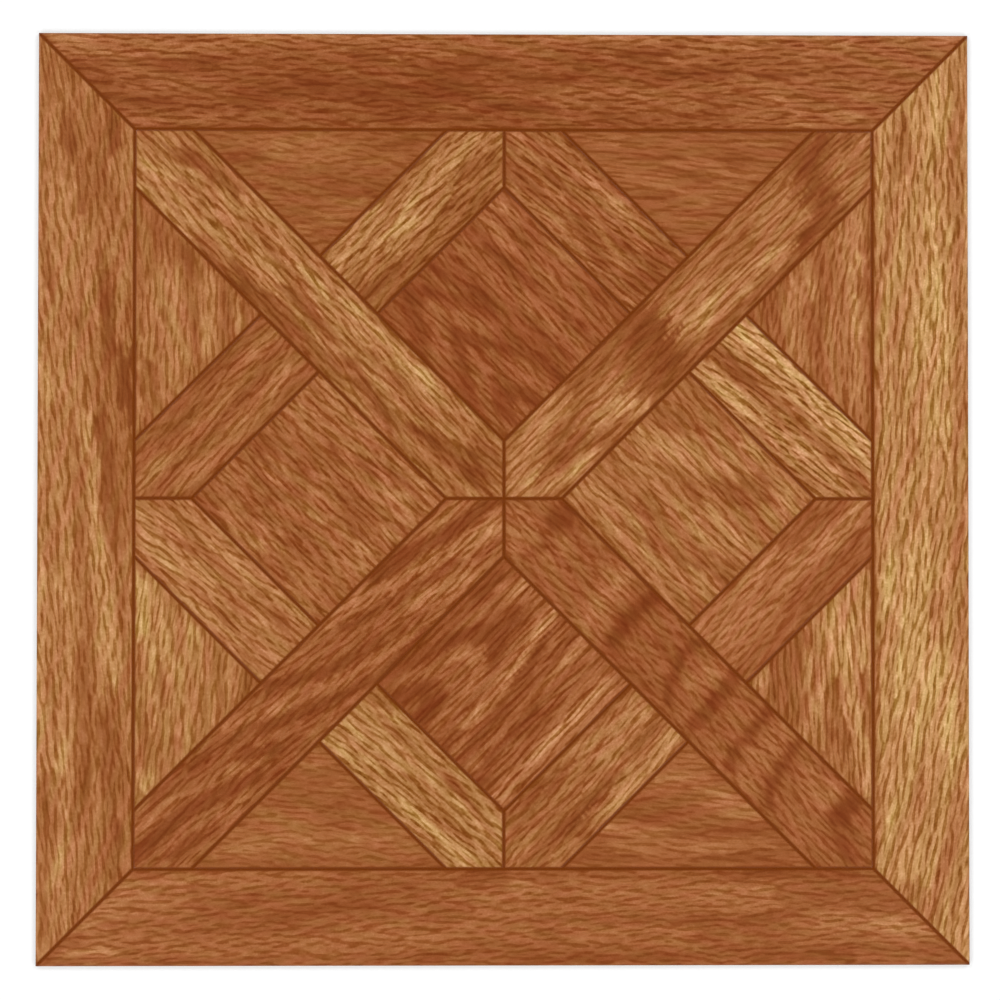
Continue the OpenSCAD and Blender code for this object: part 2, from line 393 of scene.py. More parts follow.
LATTICE = (
    Board(Cut.LATTICE, 0, HONEY, lean=7, bend=5, gilt=0.3, contrast=1.22, streaks=(
        streak(STRAW, 5.5, (-22, 4), (-8, 6), (10, 8), (31, 8.5)), streak(TAN, 3, (-25, 11), (10, 12)),
        streak(COPPER, 5, (-37, 1), (-20, -1), (0, -1), (22, 1)), streak(RUSSET, 3, (-38, 0), (-16, -0.5)),
        streak(COPPER, 7, (15, 0), (36, 3)), streak(RUSSET, 5, (19, 1), (28, 2), (37, 3)),
        streak(CHESTNUT, 2, (22, 0.5), (29, 0.5)), streak(TAN, 3.5, (-28, -4), (-5, -4), (10, -4)),
        streak(COPPER, 2, (-8, -6), (0, -5)),
        streak(STRAW, 9.5, (-22, -10), (0, -9), (20, -8.5), (33, -8.5)),
        streak(CREAM, 5.5, (-20, -11), (0, -9.5)), streak(CREAM, 5, (6, -10.5), (20, -11), (32, -9)),
        streak(CREAM, 2, (17, -6.5), (21, -6.5)), streak(HONEY, 2, (-5, 2), (5, 3)),
    )),
    Board(Cut.LATTICE, 0, COPPER, mirrored=True, gilt=-0.4, contrast=0.9, streaks=(
        streak(RUSSET, 9, (-25, 9), (0, 9), (15, 8), (34, 10)), streak(COPPER, 3, (-5, 10), (-12, 11)),
        streak(TAN, 7, (-31, 0), (-5, -1), (15, -1), (32, 0)),
        streak(HONEY, 4, (-31, -1), (-22, 0), (-13, -2)),
        streak(TAN, 8, (-2, -8), (20, -7), (32, -7)), streak(HONEY, 4, (0, -9), (15, -9)),
        streak(RUSSET, 6, (-27, -7), (-12, -9), (-6, -11)), streak(COPPER, 4, (10, 5), (34, 4)),
        streak(COPPER, 3, (0, -4), (12, -4.5)), streak(HONEY, 1.5, (7, 1), (10, 1)),
    )),
    Board(Cut.LATTICE, 1, TAN, lean=-1, bend=4, gilt=0.5, contrast=1.22, streaks=(
        streak(RUSSET, 9, (-26, 6), (-18, 1)), streak(COPPER, 8, (-20, 9), (15, 8)),
        streak(RUSSET, 4, (-20, 11.5), (35, 11)), streak(RUSSET, 6, (20, 7), (37, 6)),
        streak(CHESTNUT, 4, (24, 7), (36, 6)), streak(RUSSET, 2.5, (-8, 5), (1, 6)),
        streak(TAN, 2, (-6, 8.5), (0, 9)),
        streak(HONEY, 6, (-26, -5), (-12, -5), (0, -4), (15, -1), (25, -2)),
        streak(HONEY, 3, (-6, 1.5), (4, 2.5)), streak(STRAW, 3.5, (7, -1), (17, -2)),
        streak(STRAW, 3, (-3, -4.5), (5, -4.5)), streak(HONEY, 4, (13, -9), (25, -8), (35, -7)),
        streak(HONEY, 4, (15, -11), (24, -11)), streak(COPPER, 4, (-20, -12), (8, -12)),
        streak(RUSSET, 2, (-11, -12.5), (-6, -12.5)), streak(CHESTNUT, 2, (7, -12.5), (11, -12.5)),
        streak(RUSSET, 2, (30, 1), (37, 0.5)), streak(COPPER, 2, (18, 0), (26, 2)),
    )),
    Board(Cut.LATTICE, 1, RUSSET, mirrored=True, lean=7.5, contrast=1.25, streaks=(
        streak(COPPER, 6, (-20, 9), (0, 9), (15, 8), (24, 6)), streak(TAN, 2.5, (-8, 8.5), (8, 9)),
        streak(COPPER, 4, (-31, 1), (-22, 0)), streak(TAN, 1.5, (-30, 1.5), (-27, 1.5)),
        streak(COPPER, 5, (-18, 3), (0, 4), (15, 4)), streak(COPPER, 4, (-28, -2), (0, -4)),
        streak(COPPER, 4, (5, -2), (22, -3)), streak(COPPER, 4.5, (-18, -10), (12, -11)),
        streak(TAN, 2, (28, -10.5), (35, -10.5)), streak(CHESTNUT, 8, (28, 9), (33, 0), (31, -6)),
        streak(CHESTNUT, 2, (-19, 0), (-6, 1)), streak(CHESTNUT, 3, (0, -3), (8, -4)),
        streak(CHESTNUT, 2, (12, 1), (21, 1)), streak(CHESTNUT, 2, (-22, -7), (-8, -7)),
        streak(CHESTNUT, 2.5, (8, -7), (20, -8)),
    )),
    Board(Cut.LATTICE, 2, TAN, lean=5, bend=-1, gilt=0.1, contrast=1.08, streaks=(
        streak(HONEY, 5, (-31, -1), (-15, -2), (0, -2), (8, -3)), streak(HONEY, 5, (-27, -6), (-8, -6)),
        streak(HONEY, 4, (-18, -11), (0, -10), (22, -11)), streak(HONEY, 3.5, (-8, 8), (10, 8)),
        streak(HONEY, 2.5, (-5, 0), (5, 1)), streak(HONEY, 2, (17, 1), (25, 1)),
        streak(HONEY, 4, (16, 10), (33, 11)), streak(HONEY, 2, (-28, 2), (-22, 2)),
        streak(HONEY, 3.5, (-22, 10), (-12, 10)), streak(COPPER, 3, (-22, 6), (-5, 4), (10, 4)),
        streak(COPPER, 4, (16, 5), (33, 6)), streak(RUSSET, 2, (20, 5), (29, 6)),
        streak(COPPER, 1.5, (6, -6), (16, -7)), streak(COPPER, 2, (-15, 1), (-5, 1.5)),
        streak(COPPER, 3, (8, -1), (16, -1)),
    )),
    Board(Cut.LATTICE, 2, RUSSET, mirrored=True, lean=1.5, bend=-8, streaks=(
        streak(COPPER, 6, (-33, 2), (-19, 2)), streak(TAN, 4, (-30, 1), (-21, 2)),
        streak(COPPER, 6, (-13, 1), (0, 2), (15, 5), (33, 6)), streak(TAN, 2, (-2, 2), (4, 2)),
        streak(TAN, 4, (24, 6), (31, 5.5)), streak(COPPER, 6, (-22, -8), (0, -9), (15, -7), (32, -6)),
        streak(TAN, 4.5, (-22, -8), (-9, -9.5)), streak(TAN, 2, (2, -6), (6, -6)),
        streak(TAN, 4, (20, -6), (28, -5)), streak(CHESTNUT, 3, (-20, 7), (-11, 8)),
        streak(CHESTNUT, 2.5, (5, -2), (14, -2)), streak(CHESTNUT, 2, (-3, 7), (-8, 5)),
        streak(CHESTNUT, 3, (5, 11), (20, 12)), streak(CHESTNUT, 2, (-17, -2), (-11, -2)),
    )),
    Board(Cut.LATTICE, 3, COPPER, lean=0.5, bend=6, gilt=0.1, streaks=(
        streak(RUSSET, 6, (-26, 9), (-2, 9)), streak(CHESTNUT, 2.5, (-15, 10), (-12, 10)),
        streak(CHESTNUT, 2, (-5, 8), (1, 8)), streak(TAN, 6, (10, 4), (35, 4)),
        streak(HONEY, 8, (15, 3), (24, 4), (34, 4)), streak(TAN, 3, (-30, 1), (-21, 1)),
        streak(TAN, 4, (-5, -1), (15, -1)), streak(RUSSET, 9, (-26, -5), (8, -6)),
        streak(CHESTNUT, 4.5, (-15, -5), (0, -5), (6, -6)), streak(WALNUT, 2, (-8, -5.5), (0, -5.5)),
        streak(RUSSET, 3, (20, -2), (33, -3)), streak(CHESTNUT, 1.5, (25, -2), (29, -2.5)),
        streak(TAN, 7, (-3, -10), (15, -9), (35, -8)), streak(HONEY, 6, (0, -11), (15, -10), (35, -8)),
        streak(STRAW, 3, (3, -10.5), (17, -9.5)), streak(STRAW, 2.5, (30, -9), (35, -9)),
        streak(TAN, 3, (-21, -9.5), (-12, -10)), streak(TAN, 3, (4, 10), (34, 10)),
    )),
    Board(Cut.LATTICE, 3, HONEY, mirrored=True, lean=6.5, gilt=0.75, contrast=1.1, streaks=(
        streak(STRAW, 3, (-27, 6), (-15, 8), (0, 8), (9, 10)), streak(STRAW, 2.5, (14, 6), (22, 6)),
        streak(STRAW, 2.5, (-27, -4), (-10, -4.5), (3, -3)), streak(STRAW, 2, (18, 11), (32, 10)),
        streak(STRAW, 2, (25, 2.5), (34, 3)), streak(TAN, 3, (-21, 1), (-5, 2), (6, 1)),
        streak(COPPER, 1.5, (5, 1), (8, 1)),
        streak(TAN, 3.5, (-22, -7), (-5, -7.5), (10, -7), (26, -7)),
        streak(COPPER, 2, (-16, -7), (-3, -7.5)),
        streak(RUSSET, 1.5, (-12, -7.3), (-7, -7.4)), streak(COPPER, 2, (10, -7), (20, -7)),
        streak(TAN, 2, (5, 6), (14, 4)), streak(STRAW, 2, (22, -10), (30, -10)),
        streak(COPPER, 5, (28, -12.5), (37, -8)),
    )),
)

SQUARES = (
    Board(Cut.SQUARE, 0, COPPER, bend=2, gilt=0.15, streaks=(
        streak(TAN, 11, (-26, 3), (-12, 9), (2, 14)),
        streak(HONEY, 7, (-25, 4), (-15, 8), (-4, 11), (0, 14)),
        streak(TAN, 8, (-7, 19), (5, 23), (14, 27)),
        streak(HONEY, 3, (0, 26), (6, 26)), streak(TAN, 11, (22, 18), (24, 27)),
        streak(HONEY, 6, (24, 20), (23, 26)), streak(RUSSET, 10, (5, 7), (10, 12), (15, 18)),
        streak(CHESTNUT, 2, (10, 14), (12, 14)), streak(RUSSET, 5, (-26, 13), (-17, 17)),
        streak(RUSSET, 3, (-5, 3.5), (0, 3)), streak(RUSSET, 2, (-9, 0), (-4, 0.5)),
        streak(TAN, 9, (-22, -4), (0, -5), (10, -7), (20, -3), (26, 4)), streak(TAN, 7, (4, 4), (27, 7)),
        streak(HONEY, 7.5, (2, -4), (8, -5), (14, -5)), streak(HONEY, 4.5, (10, 1), (20, 2), (26, -1)),
        streak(COPPER, 5, (-15, -12), (25, -10)), streak(RUSSET, 3, (-12, -13), (0, -12)),
        streak(TAN, 2.5, (5, -12), (13, -12)), streak(RUSSET, 2.5, (-27, -16), (-20, -17)),
        streak(RUSSET, 3, (20, -7), (27, -4)), streak(TAN, 10, (-26, -20), (0, -22), (18, -18), (26, -15)),
        streak(RUSSET, 3.5, (-4, -19), (8, -17), (20, -13), (28, -10)),
        streak(HONEY, 3.5, (-26, -19.5), (-14, -19), (-5, -17)), streak(HONEY, 4, (17, -19), (26, -18)),
        streak(HONEY, 2.5, (20, -15), (27, -14)), streak(HONEY, 3, (-18, -25.5), (-5, -24), (7, -22.5)),
        streak(TAN, 5, (-25, -26), (18, -26)), streak(TAN, 4, (-26, -13), (-15, -13)),
        streak(RUSSET, 2, (20, -25), (26, -23)), streak(TAN, 2, (18, 13), (22, 13.5)),
    )),
    Board(Cut.SQUARE, 1, CHESTNUT, gilt=-0.45, contrast=1.1, ragged=0.3, streaks=(
        streak(RUSSET, 9, (-27, 23), (-10, 25), (8, 26)), streak(RUSSET, 9, (-24, 18.5), (5, 19), (27, 20)),
        streak(COPPER, 4, (-28, 24), (-19, 25)), streak(TAN, 2.5, (-26, 24), (-23, 24.5)),
        streak(COPPER, 4, (-27, 17.5), (-14, 17)), streak(COPPER, 2, (-6, 26), (3, 28)),
        streak(COPPER, 1.5, (0, 19), (4, 18.5)), streak(CHESTNUT, 3, (-13, 22), (-9, 21)),
        streak(WALNUT, 2.5, (-20, 12), (-5, 13), (0, 14)), streak(WALNUT, 2, (14, 14), (17, 14)),
        streak(WALNUT, 2, (19, 15.5), (22, 15)), streak(WALNUT, 2, (17, 25), (20, 25)),
        streak(RUSSET, 6.5, (-24, 5.5), (-8, 6.5), (2, 8), (14, 9), (29, 8)),
        streak(COPPER, 3, (0, 8), (5, 7.5)),
        streak(COPPER, 3, (10, 9), (16, 9)), streak(WALNUT, 2, (10, 4), (25, 5)),
        streak(WALNUT, 4, (-13, -1), (-4, -1)), streak(UMBER, 2, (-10, -0.5), (-8, -0.5)),
        streak(WALNUT, 3, (-3, -2.5), (-12, -6), (-19, -10), (-26, -14)),
        streak(WALNUT, 6.5, (-29, -17), (-24, -18), (-20, -22)), streak(UMBER, 4, (-28, -17), (-25, -18)),
        streak(WALNUT, 4, (-20, -21), (-14, -25), (-9, -29)), streak(UMBER, 3, (-15, -29), (-10, -29)),
        streak(WALNUT, 3, (-29, -6), (-22, -5)), streak(UMBER, 2, (-29, -6), (-25, -6)),
        streak(UMBER, 2, (-24, -13), (-21, -13)),
        streak(RUSSET, 6, (0, -8), (-8, -11), (-14, -15), (-17, -16)),
        streak(WALNUT, 3.5, (12, -6), (5, -9), (-1, -13), (-7, -16)), streak(WALNUT, 2.5, (8, -4), (20, -3)),
        streak(WALNUT, 4.5, (-7, -16), (0, -19), (7, -24), (12, -28)),
        streak(UMBER, 2, (-6, -16), (-4, -17)),
        streak(RUSSET, 6.5, (-9, -21), (-4, -24)),
        streak(RUSSET, 6.5, (27, -8), (16, -10), (8, -14), (4, -17)),
        streak(RUSSET, 5.5, (4, -17), (10, -20), (14, -22)),
        streak(WALNUT, 6.5, (27, -13), (20, -17), (23, -21)),
        streak(WALNUT, 3.5, (16, -20), (22, -24), (28, -24)), streak(UMBER, 3, (26, -14), (29, -13)),
        streak(UMBER, 2, (20, -18), (22, -18)), streak(WALNUT, 3.5, (18, -1), (29, -3)),
        streak(UMBER, 2.5, (25, -1), (29, -2)), streak(RUSSET, 4.5, (19, -28), (28, -26)),
        streak(RUSSET, 4, (25, -18), (28, -18)),
    )),
    Board(Cut.SQUARE, 2, RUSSET, lean=1.5, gilt=-0.05, contrast=1.1, streaks=(
        streak(COPPER, 11, (-27, 25), (0, 24.5), (25, 25)),
        streak(COPPER, 8.5, (-26, 13), (-10, 17), (25, 17)),
        streak(TAN, 3, (-27, 27), (-12, 26)), streak(TAN, 3, (-8, 27), (10, 27)),
        streak(TAN, 3, (15, 27), (26, 26)), streak(TAN, 2, (-15, 21.5), (-8, 21.5)),
        streak(RUSSET, 2, (-8, 24.5), (3, 25)), streak(RUSSET, 3, (8, 23), (20, 23)),
        streak(TAN, 3.5, (-13, 18), (-5, 19), (0, 22)), streak(TAN, 3, (-27, 18.5), (-22, 18.5)),
        streak(TAN, 3, (-29, 12), (-18, 14)), streak(TAN, 2, (13, 20), (22, 20.5)),
        streak(TAN, 3, (15, 17), (26, 18)), streak(TAN, 3.5, (11, 11), (26, 13)),
        streak(COPPER, 12, (22, 8), (24, -3)), streak(TAN, 4, (22, 7), (25, 8)),
        streak(TAN, 7, (22, -1), (24, -3)), streak(HONEY, 2, (23, -2), (24, -2)),
        streak(CHESTNUT, 2.5, (-9, 15), (-3, 12.5)), streak(CHESTNUT, 2, (2, 17.5), (6, 18)),
        streak(COPPER, 4, (0, 12), (12, 11), (26, 12)), streak(CHESTNUT, 3, (6, 6), (10, 5)),
        streak(CHESTNUT, 8, (-29, 0), (-23, 0), (-21, -3)), streak(COPPER, 4, (-24, -16), (-10, -16)),
        streak(CHESTNUT, 2.5, (-13, -13), (-9, -13)),
        streak(COPPER, 4, (10, -13), (24, -15)), streak(CHESTNUT, 3, (5, -18), (7, -17)),
        streak(COPPER, 4, (-24, 8), (-16, 9)),
        streak(COPPER, 10, (-3, 7), (0, 0), (6, -3), (15, -6), (21, -10)),
        streak(COPPER, 4, (-20, -1), (-12, -2)), streak(TAN, 2, (-20, -5.5), (-12, -5.5)),
        streak(TAN, 2, (-2, 0), (1, 0)), streak(TAN, 2, (0, -5.5), (3, -5.5)),
        streak(COPPER, 9, (-3, -10), (-4, -20), (-5, -26)), streak(TAN, 5.5, (-2, -19), (-3, -26)),
        streak(HONEY, 2.5, (-3, -23), (-1, -24)), streak(COPPER, 7, (-18, -22), (-14, -27)),
        streak(TAN, 4, (-16, -24), (-13, -27)), streak(COPPER, 7, (14, -20), (22, -27)),
        streak(TAN, 3, (14, -25), (20, -27)), streak(COPPER, 4, (-28, -12), (-25, -20)),
        streak(COPPER, 3, (-28, -8), (-24, -10)),
    )),
    Board(Cut.SQUARE, 3, CHESTNUT, lean=0.5, gilt=-0.3, contrast=1.2, fleck=7.5, ragged=0.5, streaks=(
        streak(RUSSET, 6, (-22, 21), (-12, 19), (-3, 19), (2, 15), (0, 10), (-8, 7), (-24, 4)),
        streak(COPPER, 5, (-5, 18), (-2, 15), (1, 11), (-5, 8), (-11, 6.5)),
        streak(TAN, 2.5, (-4, 17), (-2, 15)),
        streak(RUSSET, 6, (-14, 12), (-8, 12)), streak(RUSSET, 5, (-25, 5), (-10, 3), (0, 3)),
        streak(WALNUT, 12, (-27, 16), (-20, 15)),
        streak(UMBER, 5, (-28, 21), (-20, 18), (-21, 12), (-28, 11)),
        streak(CHESTNUT, 4, (-28, 16), (-25, 16)), streak(WALNUT, 5, (-22, 28), (-8, 24), (0, 22), (5, 19)),
        streak(UMBER, 2.5, (-4, 22), (0, 21.5)), streak(WALNUT, 7, (5, 18), (9, 14), (6, 9), (4, 6)),
        streak(UMBER, 2, (8, 15), (9, 14)), streak(WALNUT, 4.5, (9, 14), (15, 12), (20, 13)),
        streak(WALNUT, 5, (14, 26), (23, 26)), streak(RUSSET, 3, (6, 22), (15, 20), (22, 19)),
        streak(RUSSET, 9, (21, 20), (28, 12)), streak(COPPER, 7, (23, 18), (29, 17), (29, 10)),
        streak(TAN, 3, (24, 18), (29, 18)), streak(TAN, 2, (-2, 30), (5, 30)),
        streak(RUSSET, 6, (-20, -1), (0, 2), (12, 4), (29, 8)),
        streak(COPPER, 5, (-18, -1), (0, 0.5), (12, 2), (29, 6)), streak(TAN, 3, (-13, -1), (-8, -1)),
        streak(TAN, 3.5, (-2, 0.5), (10, 1), (18, 3), (29, 5.5)), streak(HONEY, 1.2, (2, 0.6), (22, 4)),
        streak(WALNUT, 3, (-29, -1), (-21, -1)), streak(UMBER, 2, (-29, -1), (-26, -1)),
        streak(UMBER, 1.6, (3, -1.4), (10, -1.2), (22, 1.5)), streak(WALNUT, 2.5, (2, -2.5), (20, -2)),
        streak(WALNUT, 4.5, (-28, -7), (-15, -6), (-6, -6)), streak(RUSSET, 3, (-26, -4), (-20, -3)),
        streak(RUSSET, 4, (-28, -11), (-10, -10), (10, -10), (28, -9)),
        streak(RUSSET, 3, (10, -5), (26, -2)),
        streak(COPPER, 3, (8, -10), (20, -9), (29, -8.5)), streak(TAN, 1.5, (19, -9.5), (26, -9)),
        streak(COPPER, 2, (-27, -12), (-22, -12)), streak(WALNUT, 2.5, (-21, -14), (-10, -14), (1, -13.5)),
        streak(WALNUT, 1.5, (3, -16.5), (7, -16.5)), streak(RUSSET, 4, (-20, -17), (-8, -17)),
        streak(WALNUT, 3, (-29, -17), (-23, -21)), streak(RUSSET, 5, (5, -14), (28, -14)),
        streak(RUSSET, 3, (6, -20), (28, -18)), streak(RUSSET, 10, (-27, -25), (28, -25)),
        streak(TAN, 5, (-27, -25), (-10, -24), (10, -24), (24, -24)),
        streak(HONEY, 3, (-27, -25), (-21, -25)), streak(HONEY, 2.5, (-10, -24), (0, -23.5), (22, -24)),
        streak(STRAW, 1.8, (0, -23), (6, -23.7)), streak(COPPER, 2, (-28, -29), (28, -29)),
    )),
)

TRIANGLES = (
    Board(Cut.TRIANGLE, 0, COPPER, lean=-5, bend=-8, gilt=-0.1, contrast=0.93, fleck=4.2, streaks=(
        streak(RUSSET, 8, (0, 17), (3, 10), (14, 9)), streak(TAN, 8, (-14, 4), (5, 5), (14, 1)),
        streak(HONEY, 3, (-13, 3), (-2, 5), (9, 4)), streak(HONEY, 2, (4, -1), (12, -1)),
        streak(RUSSET, 2, (-22, -3), (-12, -3), (0, -1)), streak(RUSSET, 2, (-5, -6), (12, -4), (20, -4)),
        streak(TAN, 6, (-26, -9), (-8, -8), (4, -9)), streak(RUSSET, 1.5, (-10, -12), (-2, -11)),
        streak(TAN, 8, (-30, -15), (0, -14), (30, -13)), streak(HONEY, 3, (-17, -16), (5, -14), (15, -14)),
        streak(STRAW, 6.5, (18, -13.5), (30, -13)), streak(STRAW, 2, (-5, -16), (8, -15)),
        streak(STRAW, 2, (14, -17), (20, -17)), streak(HONEY, 2, (-27, -16), (-22, -16)),
        streak(HONEY, 8, (20, -12), (32, -14)), streak(COPPER, 2, (10, -8), (22, -9)),
    )),
    Board(Cut.TRIANGLE, 0, TAN, mirrored=True, lean=1, gilt=0.15, contrast=1.05, fleck=6.5, streaks=(
        streak(RUSSET, 11, (-8, 7), (5, 8), (13, 5)), streak(HONEY, 4, (0, 17), (1, 15.5)),
        streak(STRAW, 1.5, (0, 16.5), (1, 16)), streak(COPPER, 4, (-10, 1), (2, 2)),
        streak(HONEY, 6, (-18, -1.5), (0, -2.5), (12, -1)), streak(STRAW, 3, (-8, -3), (-2, -3.5)),
        streak(HONEY, 12, (5, -11), (18, -7), (26, -9)), streak(STRAW, 11, (5, -12), (18, -9), (26, -10)),
        streak(CREAM, 3, (-2, -14.3), (5, -14), (19, -13)), streak(CREAM, 1.5, (17, -6.5), (19, -6.5)),
        streak(COPPER, 2.5, (-8, -8.5), (2, -9)), streak(COPPER, 6, (-27, -8), (-17, -10)),
        streak(RUSSET, 3, (-22, -5), (-16, -8)), streak(RUSSET, 2.5, (-24, -12), (-17, -12)),
        streak(TAN, 2.5, (-26, -9), (-21, -9.5)), streak(STRAW, 5, (-33, -18), (-16, -17), (0, -15)),
        streak(COPPER, 3, (-16, -20), (0, -18)), streak(STRAW, 4, (5, -18), (20, -18), (36, -17)),
        streak(HONEY, 3, (-33, -16), (-20, -15), (-8, -12)),
    )),
    Board(Cut.TRIANGLE, 1, RUSSET, lean=-3, contrast=0.73, fleck=4.2, streaks=(
        streak(CHESTNUT, 6, (-22, -1), (-10, -1), (-3, -2)), streak(WALNUT, 2, (-19, 1), (-17, 0)),
        streak(CHESTNUT, 4, (1, 17), (2, 14)), streak(COPPER, 4, (-6, 8), (0, 9), (3, 12)),
        streak(COPPER, 3, (-24, -12), (-15, -11)),
        streak(COPPER, 6, (-8, -12), (5, -12), (14, -14), (20, -16)),
        streak(TAN, 3, (13, -15), (16, -17)), streak(COPPER, 3, (-12, 3), (-8, 3)),
        streak(CHESTNUT, 4, (20, -10), (31, -11)), streak(WALNUT, 2, (25, -11), (29, -11)),
        streak(COPPER, 2, (14, 2), (20, 1)), streak(CHESTNUT, 2, (13, -2), (19, -2)),
        streak(COPPER, 3, (-5, -17), (8, -17)), streak(CHESTNUT, 4, (-32, -17), (-22, -16)),
    )),
    Board(Cut.TRIANGLE, 1, RUSSET, mirrored=True, lean=-3.5, gilt=-0.2, contrast=0.8, fleck=6.5, streaks=(
        streak(COPPER, 4, (-18, -1), (2, -1)), streak(COPPER, 5, (6, -4), (16, -5), (25, -7)),
        streak(COPPER, 3.5, (-22, -7), (-10, -6.5)), streak(COPPER, 3, (-6, 3), (0, 3)),
        streak(COPPER, 3, (-3, 9), (3, 9)), streak(CHESTNUT, 3, (2, 18), (5, 14)),
        streak(CHESTNUT, 2, (5, 1), (12, 1)), streak(CHESTNUT, 2.5, (-2, -8), (8, -8)),
        streak(CHESTNUT, 2, (-20, -12), (-8, -10)), streak(CHESTNUT, 2, (-3, -5), (-8, -6)),
        streak(COPPER, 3, (23, -17), (31, -17)), streak(COPPER, 3, (-10, -10), (5, -11)),
        streak(CHESTNUT, 1.5, (2, -12), (12, -12)), streak(COPPER, 2.5, (-30, -16), (-18, -17)),
    )),
    Board(Cut.TRIANGLE, 2, TAN, lean=-5, gilt=0.45, contrast=0.9, streaks=(
        streak(RUSSET, 6, (0, 19), (2, 16)), streak(COPPER, 5, (-7, 11), (6, 7)),
        streak(HONEY, 4, (-8, 10), (5, 11)), streak(HONEY, 3, (-2, 6), (12, 5)),
        streak(COPPER, 2.5, (-10, 6), (2, 7)), streak(HONEY, 14, (-17, -4), (5, -5), (16, -7)),
        streak(STRAW, 3, (-17, -1), (-13, -2)), streak(COPPER, 2, (-22, 0), (-14, 2)),
        streak(HONEY, 10, (-32, -16), (-8, -14), (12, -14)),
        streak(STRAW, 8.5, (-29, -16), (-15, -14), (-8, -13)),
        streak(STRAW, 6, (-14, -11), (-4, -8)), streak(CREAM, 4, (-34, -18), (-17, -18.5)),
        streak(STRAW, 2, (4, -15), (14, -14)), streak(COPPER, 3, (20, -6), (27, -12)),
        streak(TAN, 4, (18, -12), (25, -10)), streak(STRAW, 4, (30, -17), (34, -18)),
        streak(COPPER, 3, (10, -18), (26, -15)), streak(COPPER, 2, (-3, -12), (8, -11)),
    )),
    Board(Cut.TRIANGLE, 2, COPPER, mirrored=True, lean=1.5, gilt=0.15, contrast=0.88, streaks=(
        streak(HONEY, 4, (-3, 13), (3, 13)), streak(RUSSET, 3, (-3, 9), (3, 10)),
        streak(HONEY, 5.5, (-13, 4), (0, 4), (13, 3)), streak(RUSSET, 5, (-24, -4), (-14, -3)),
        streak(CHESTNUT, 3, (-23, -4), (-16, -4)), streak(RUSSET, 2, (-2, -1), (9, -1)),
        streak(CHESTNUT, 1.5, (4, -1), (7, -1)), streak(TAN, 12, (-10, -10), (5, -10), (22, -9)),
        streak(HONEY, 6.5, (-14, -9), (5, -9), (16, -8), (22, -9)), streak(HONEY, 3, (4, -4), (18, -3)),
        streak(STRAW, 1.5, (-10, -9.5), (-6, -10)), streak(HONEY, 4, (-6, -16), (5, -16), (14, -15)),
        streak(COPPER, 2, (-4, -11), (0, -11)), streak(RUSSET, 3, (-30, -14), (-20, -13)),
        streak(HONEY, 2.5, (10, -19), (15, -19)), streak(HONEY, 3, (28, -19), (36, -19)),
        streak(RUSSET, 2, (16, -16), (26, -14)),
    )),
    Board(Cut.TRIANGLE, 3, RUSSET, lean=-3, gilt=-0.25, contrast=0.73, streaks=(
        streak(COPPER, 10, (-6, 9), (2, 12)), streak(TAN, 3, (-10, 8), (-2, 9)),
        streak(COPPER, 9, (6, 4), (15, 0), (22, -3)), streak(TAN, 5, (9, 3), (15, 0), (21, -3)),
        streak(HONEY, 2.5, (12, 2.5), (17, 2)), streak(CHESTNUT, 3.5, (-18, -4), (-6, -4)),
        streak(CHESTNUT, 3.5, (8, -9), (30, -8)), streak(COPPER, 4, (-27, -7), (-8, -10)),
        streak(TAN, 3.5, (-26, -7.5), (-9, -9.5)), streak(HONEY, 2, (-25, -8), (-18, -8)),
        streak(COPPER, 5, (-22, -14), (25, -13)), streak(TAN, 3, (-2, -14), (9, -14.5)),
        streak(CHESTNUT, 2.5, (-35, -17), (-15, -17)), streak(CHESTNUT, 2, (-2, -10), (6, -11)),
        streak(CHESTNUT, 3, (5, -17), (25, -18)),
    )),
    Board(
        Cut.TRIANGLE, 3, RUSSET, mirrored=True, lean=-2.5, bend=-6, gilt=-0.1, contrast=0.7, fleck=4.0,
        streaks=(
            streak(COPPER, 6, (-2, 14), (3, 15)), streak(COPPER, 7, (-20, -4), (-4, -4)),
            streak(COPPER, 10, (-27, -12), (-5, -12), (15, -12), (28, -12)),
            streak(TAN, 3, (-33, -15), (-17, -13)),
            streak(TAN, 2.5, (-12, -10), (-3, -13)), streak(TAN, 2.5, (9, -11), (20, -11)),
            streak(CHESTNUT, 2, (7, -2), (9, 1)), streak(CHESTNUT, 3, (18, 4), (24, -1)),
            streak(COPPER, 2.5, (5, 5), (10, 8)),
        ),
    ),
)


@dataclass(frozen=True)
class Sway:
    """A gentle wave in the run of the wood, summed from a few plain waves that a seed picks."""

    seed: int
    reach: float
    along: tuple[float, float]
    across: tuple[float, float]
    waves: int = 5

    def at(self, u: Array, v: Array) -> Array:
        """Gives the wave's height at each place of a board.

        Args:
            u: Places along the grain.
            v: Places across the grain.

        Returns:
            Heights, mostly between minus and plus reach.
        """
        draw = np.random.default_rng(self.seed)
        total = np.zeros(u.shape)
        for _ in range(self.waves):
            turn_u = 2 * math.pi / draw.uniform(*self.along) * draw.choice((-1.0, 1.0))
            turn_v = 2 * math.pi / draw.uniform(*self.across)
            total += np.sin(turn_u * u + turn_v * v + draw.uniform(0, 2 * math.pi))
        return total * self.reach / math.sqrt(self.waves)


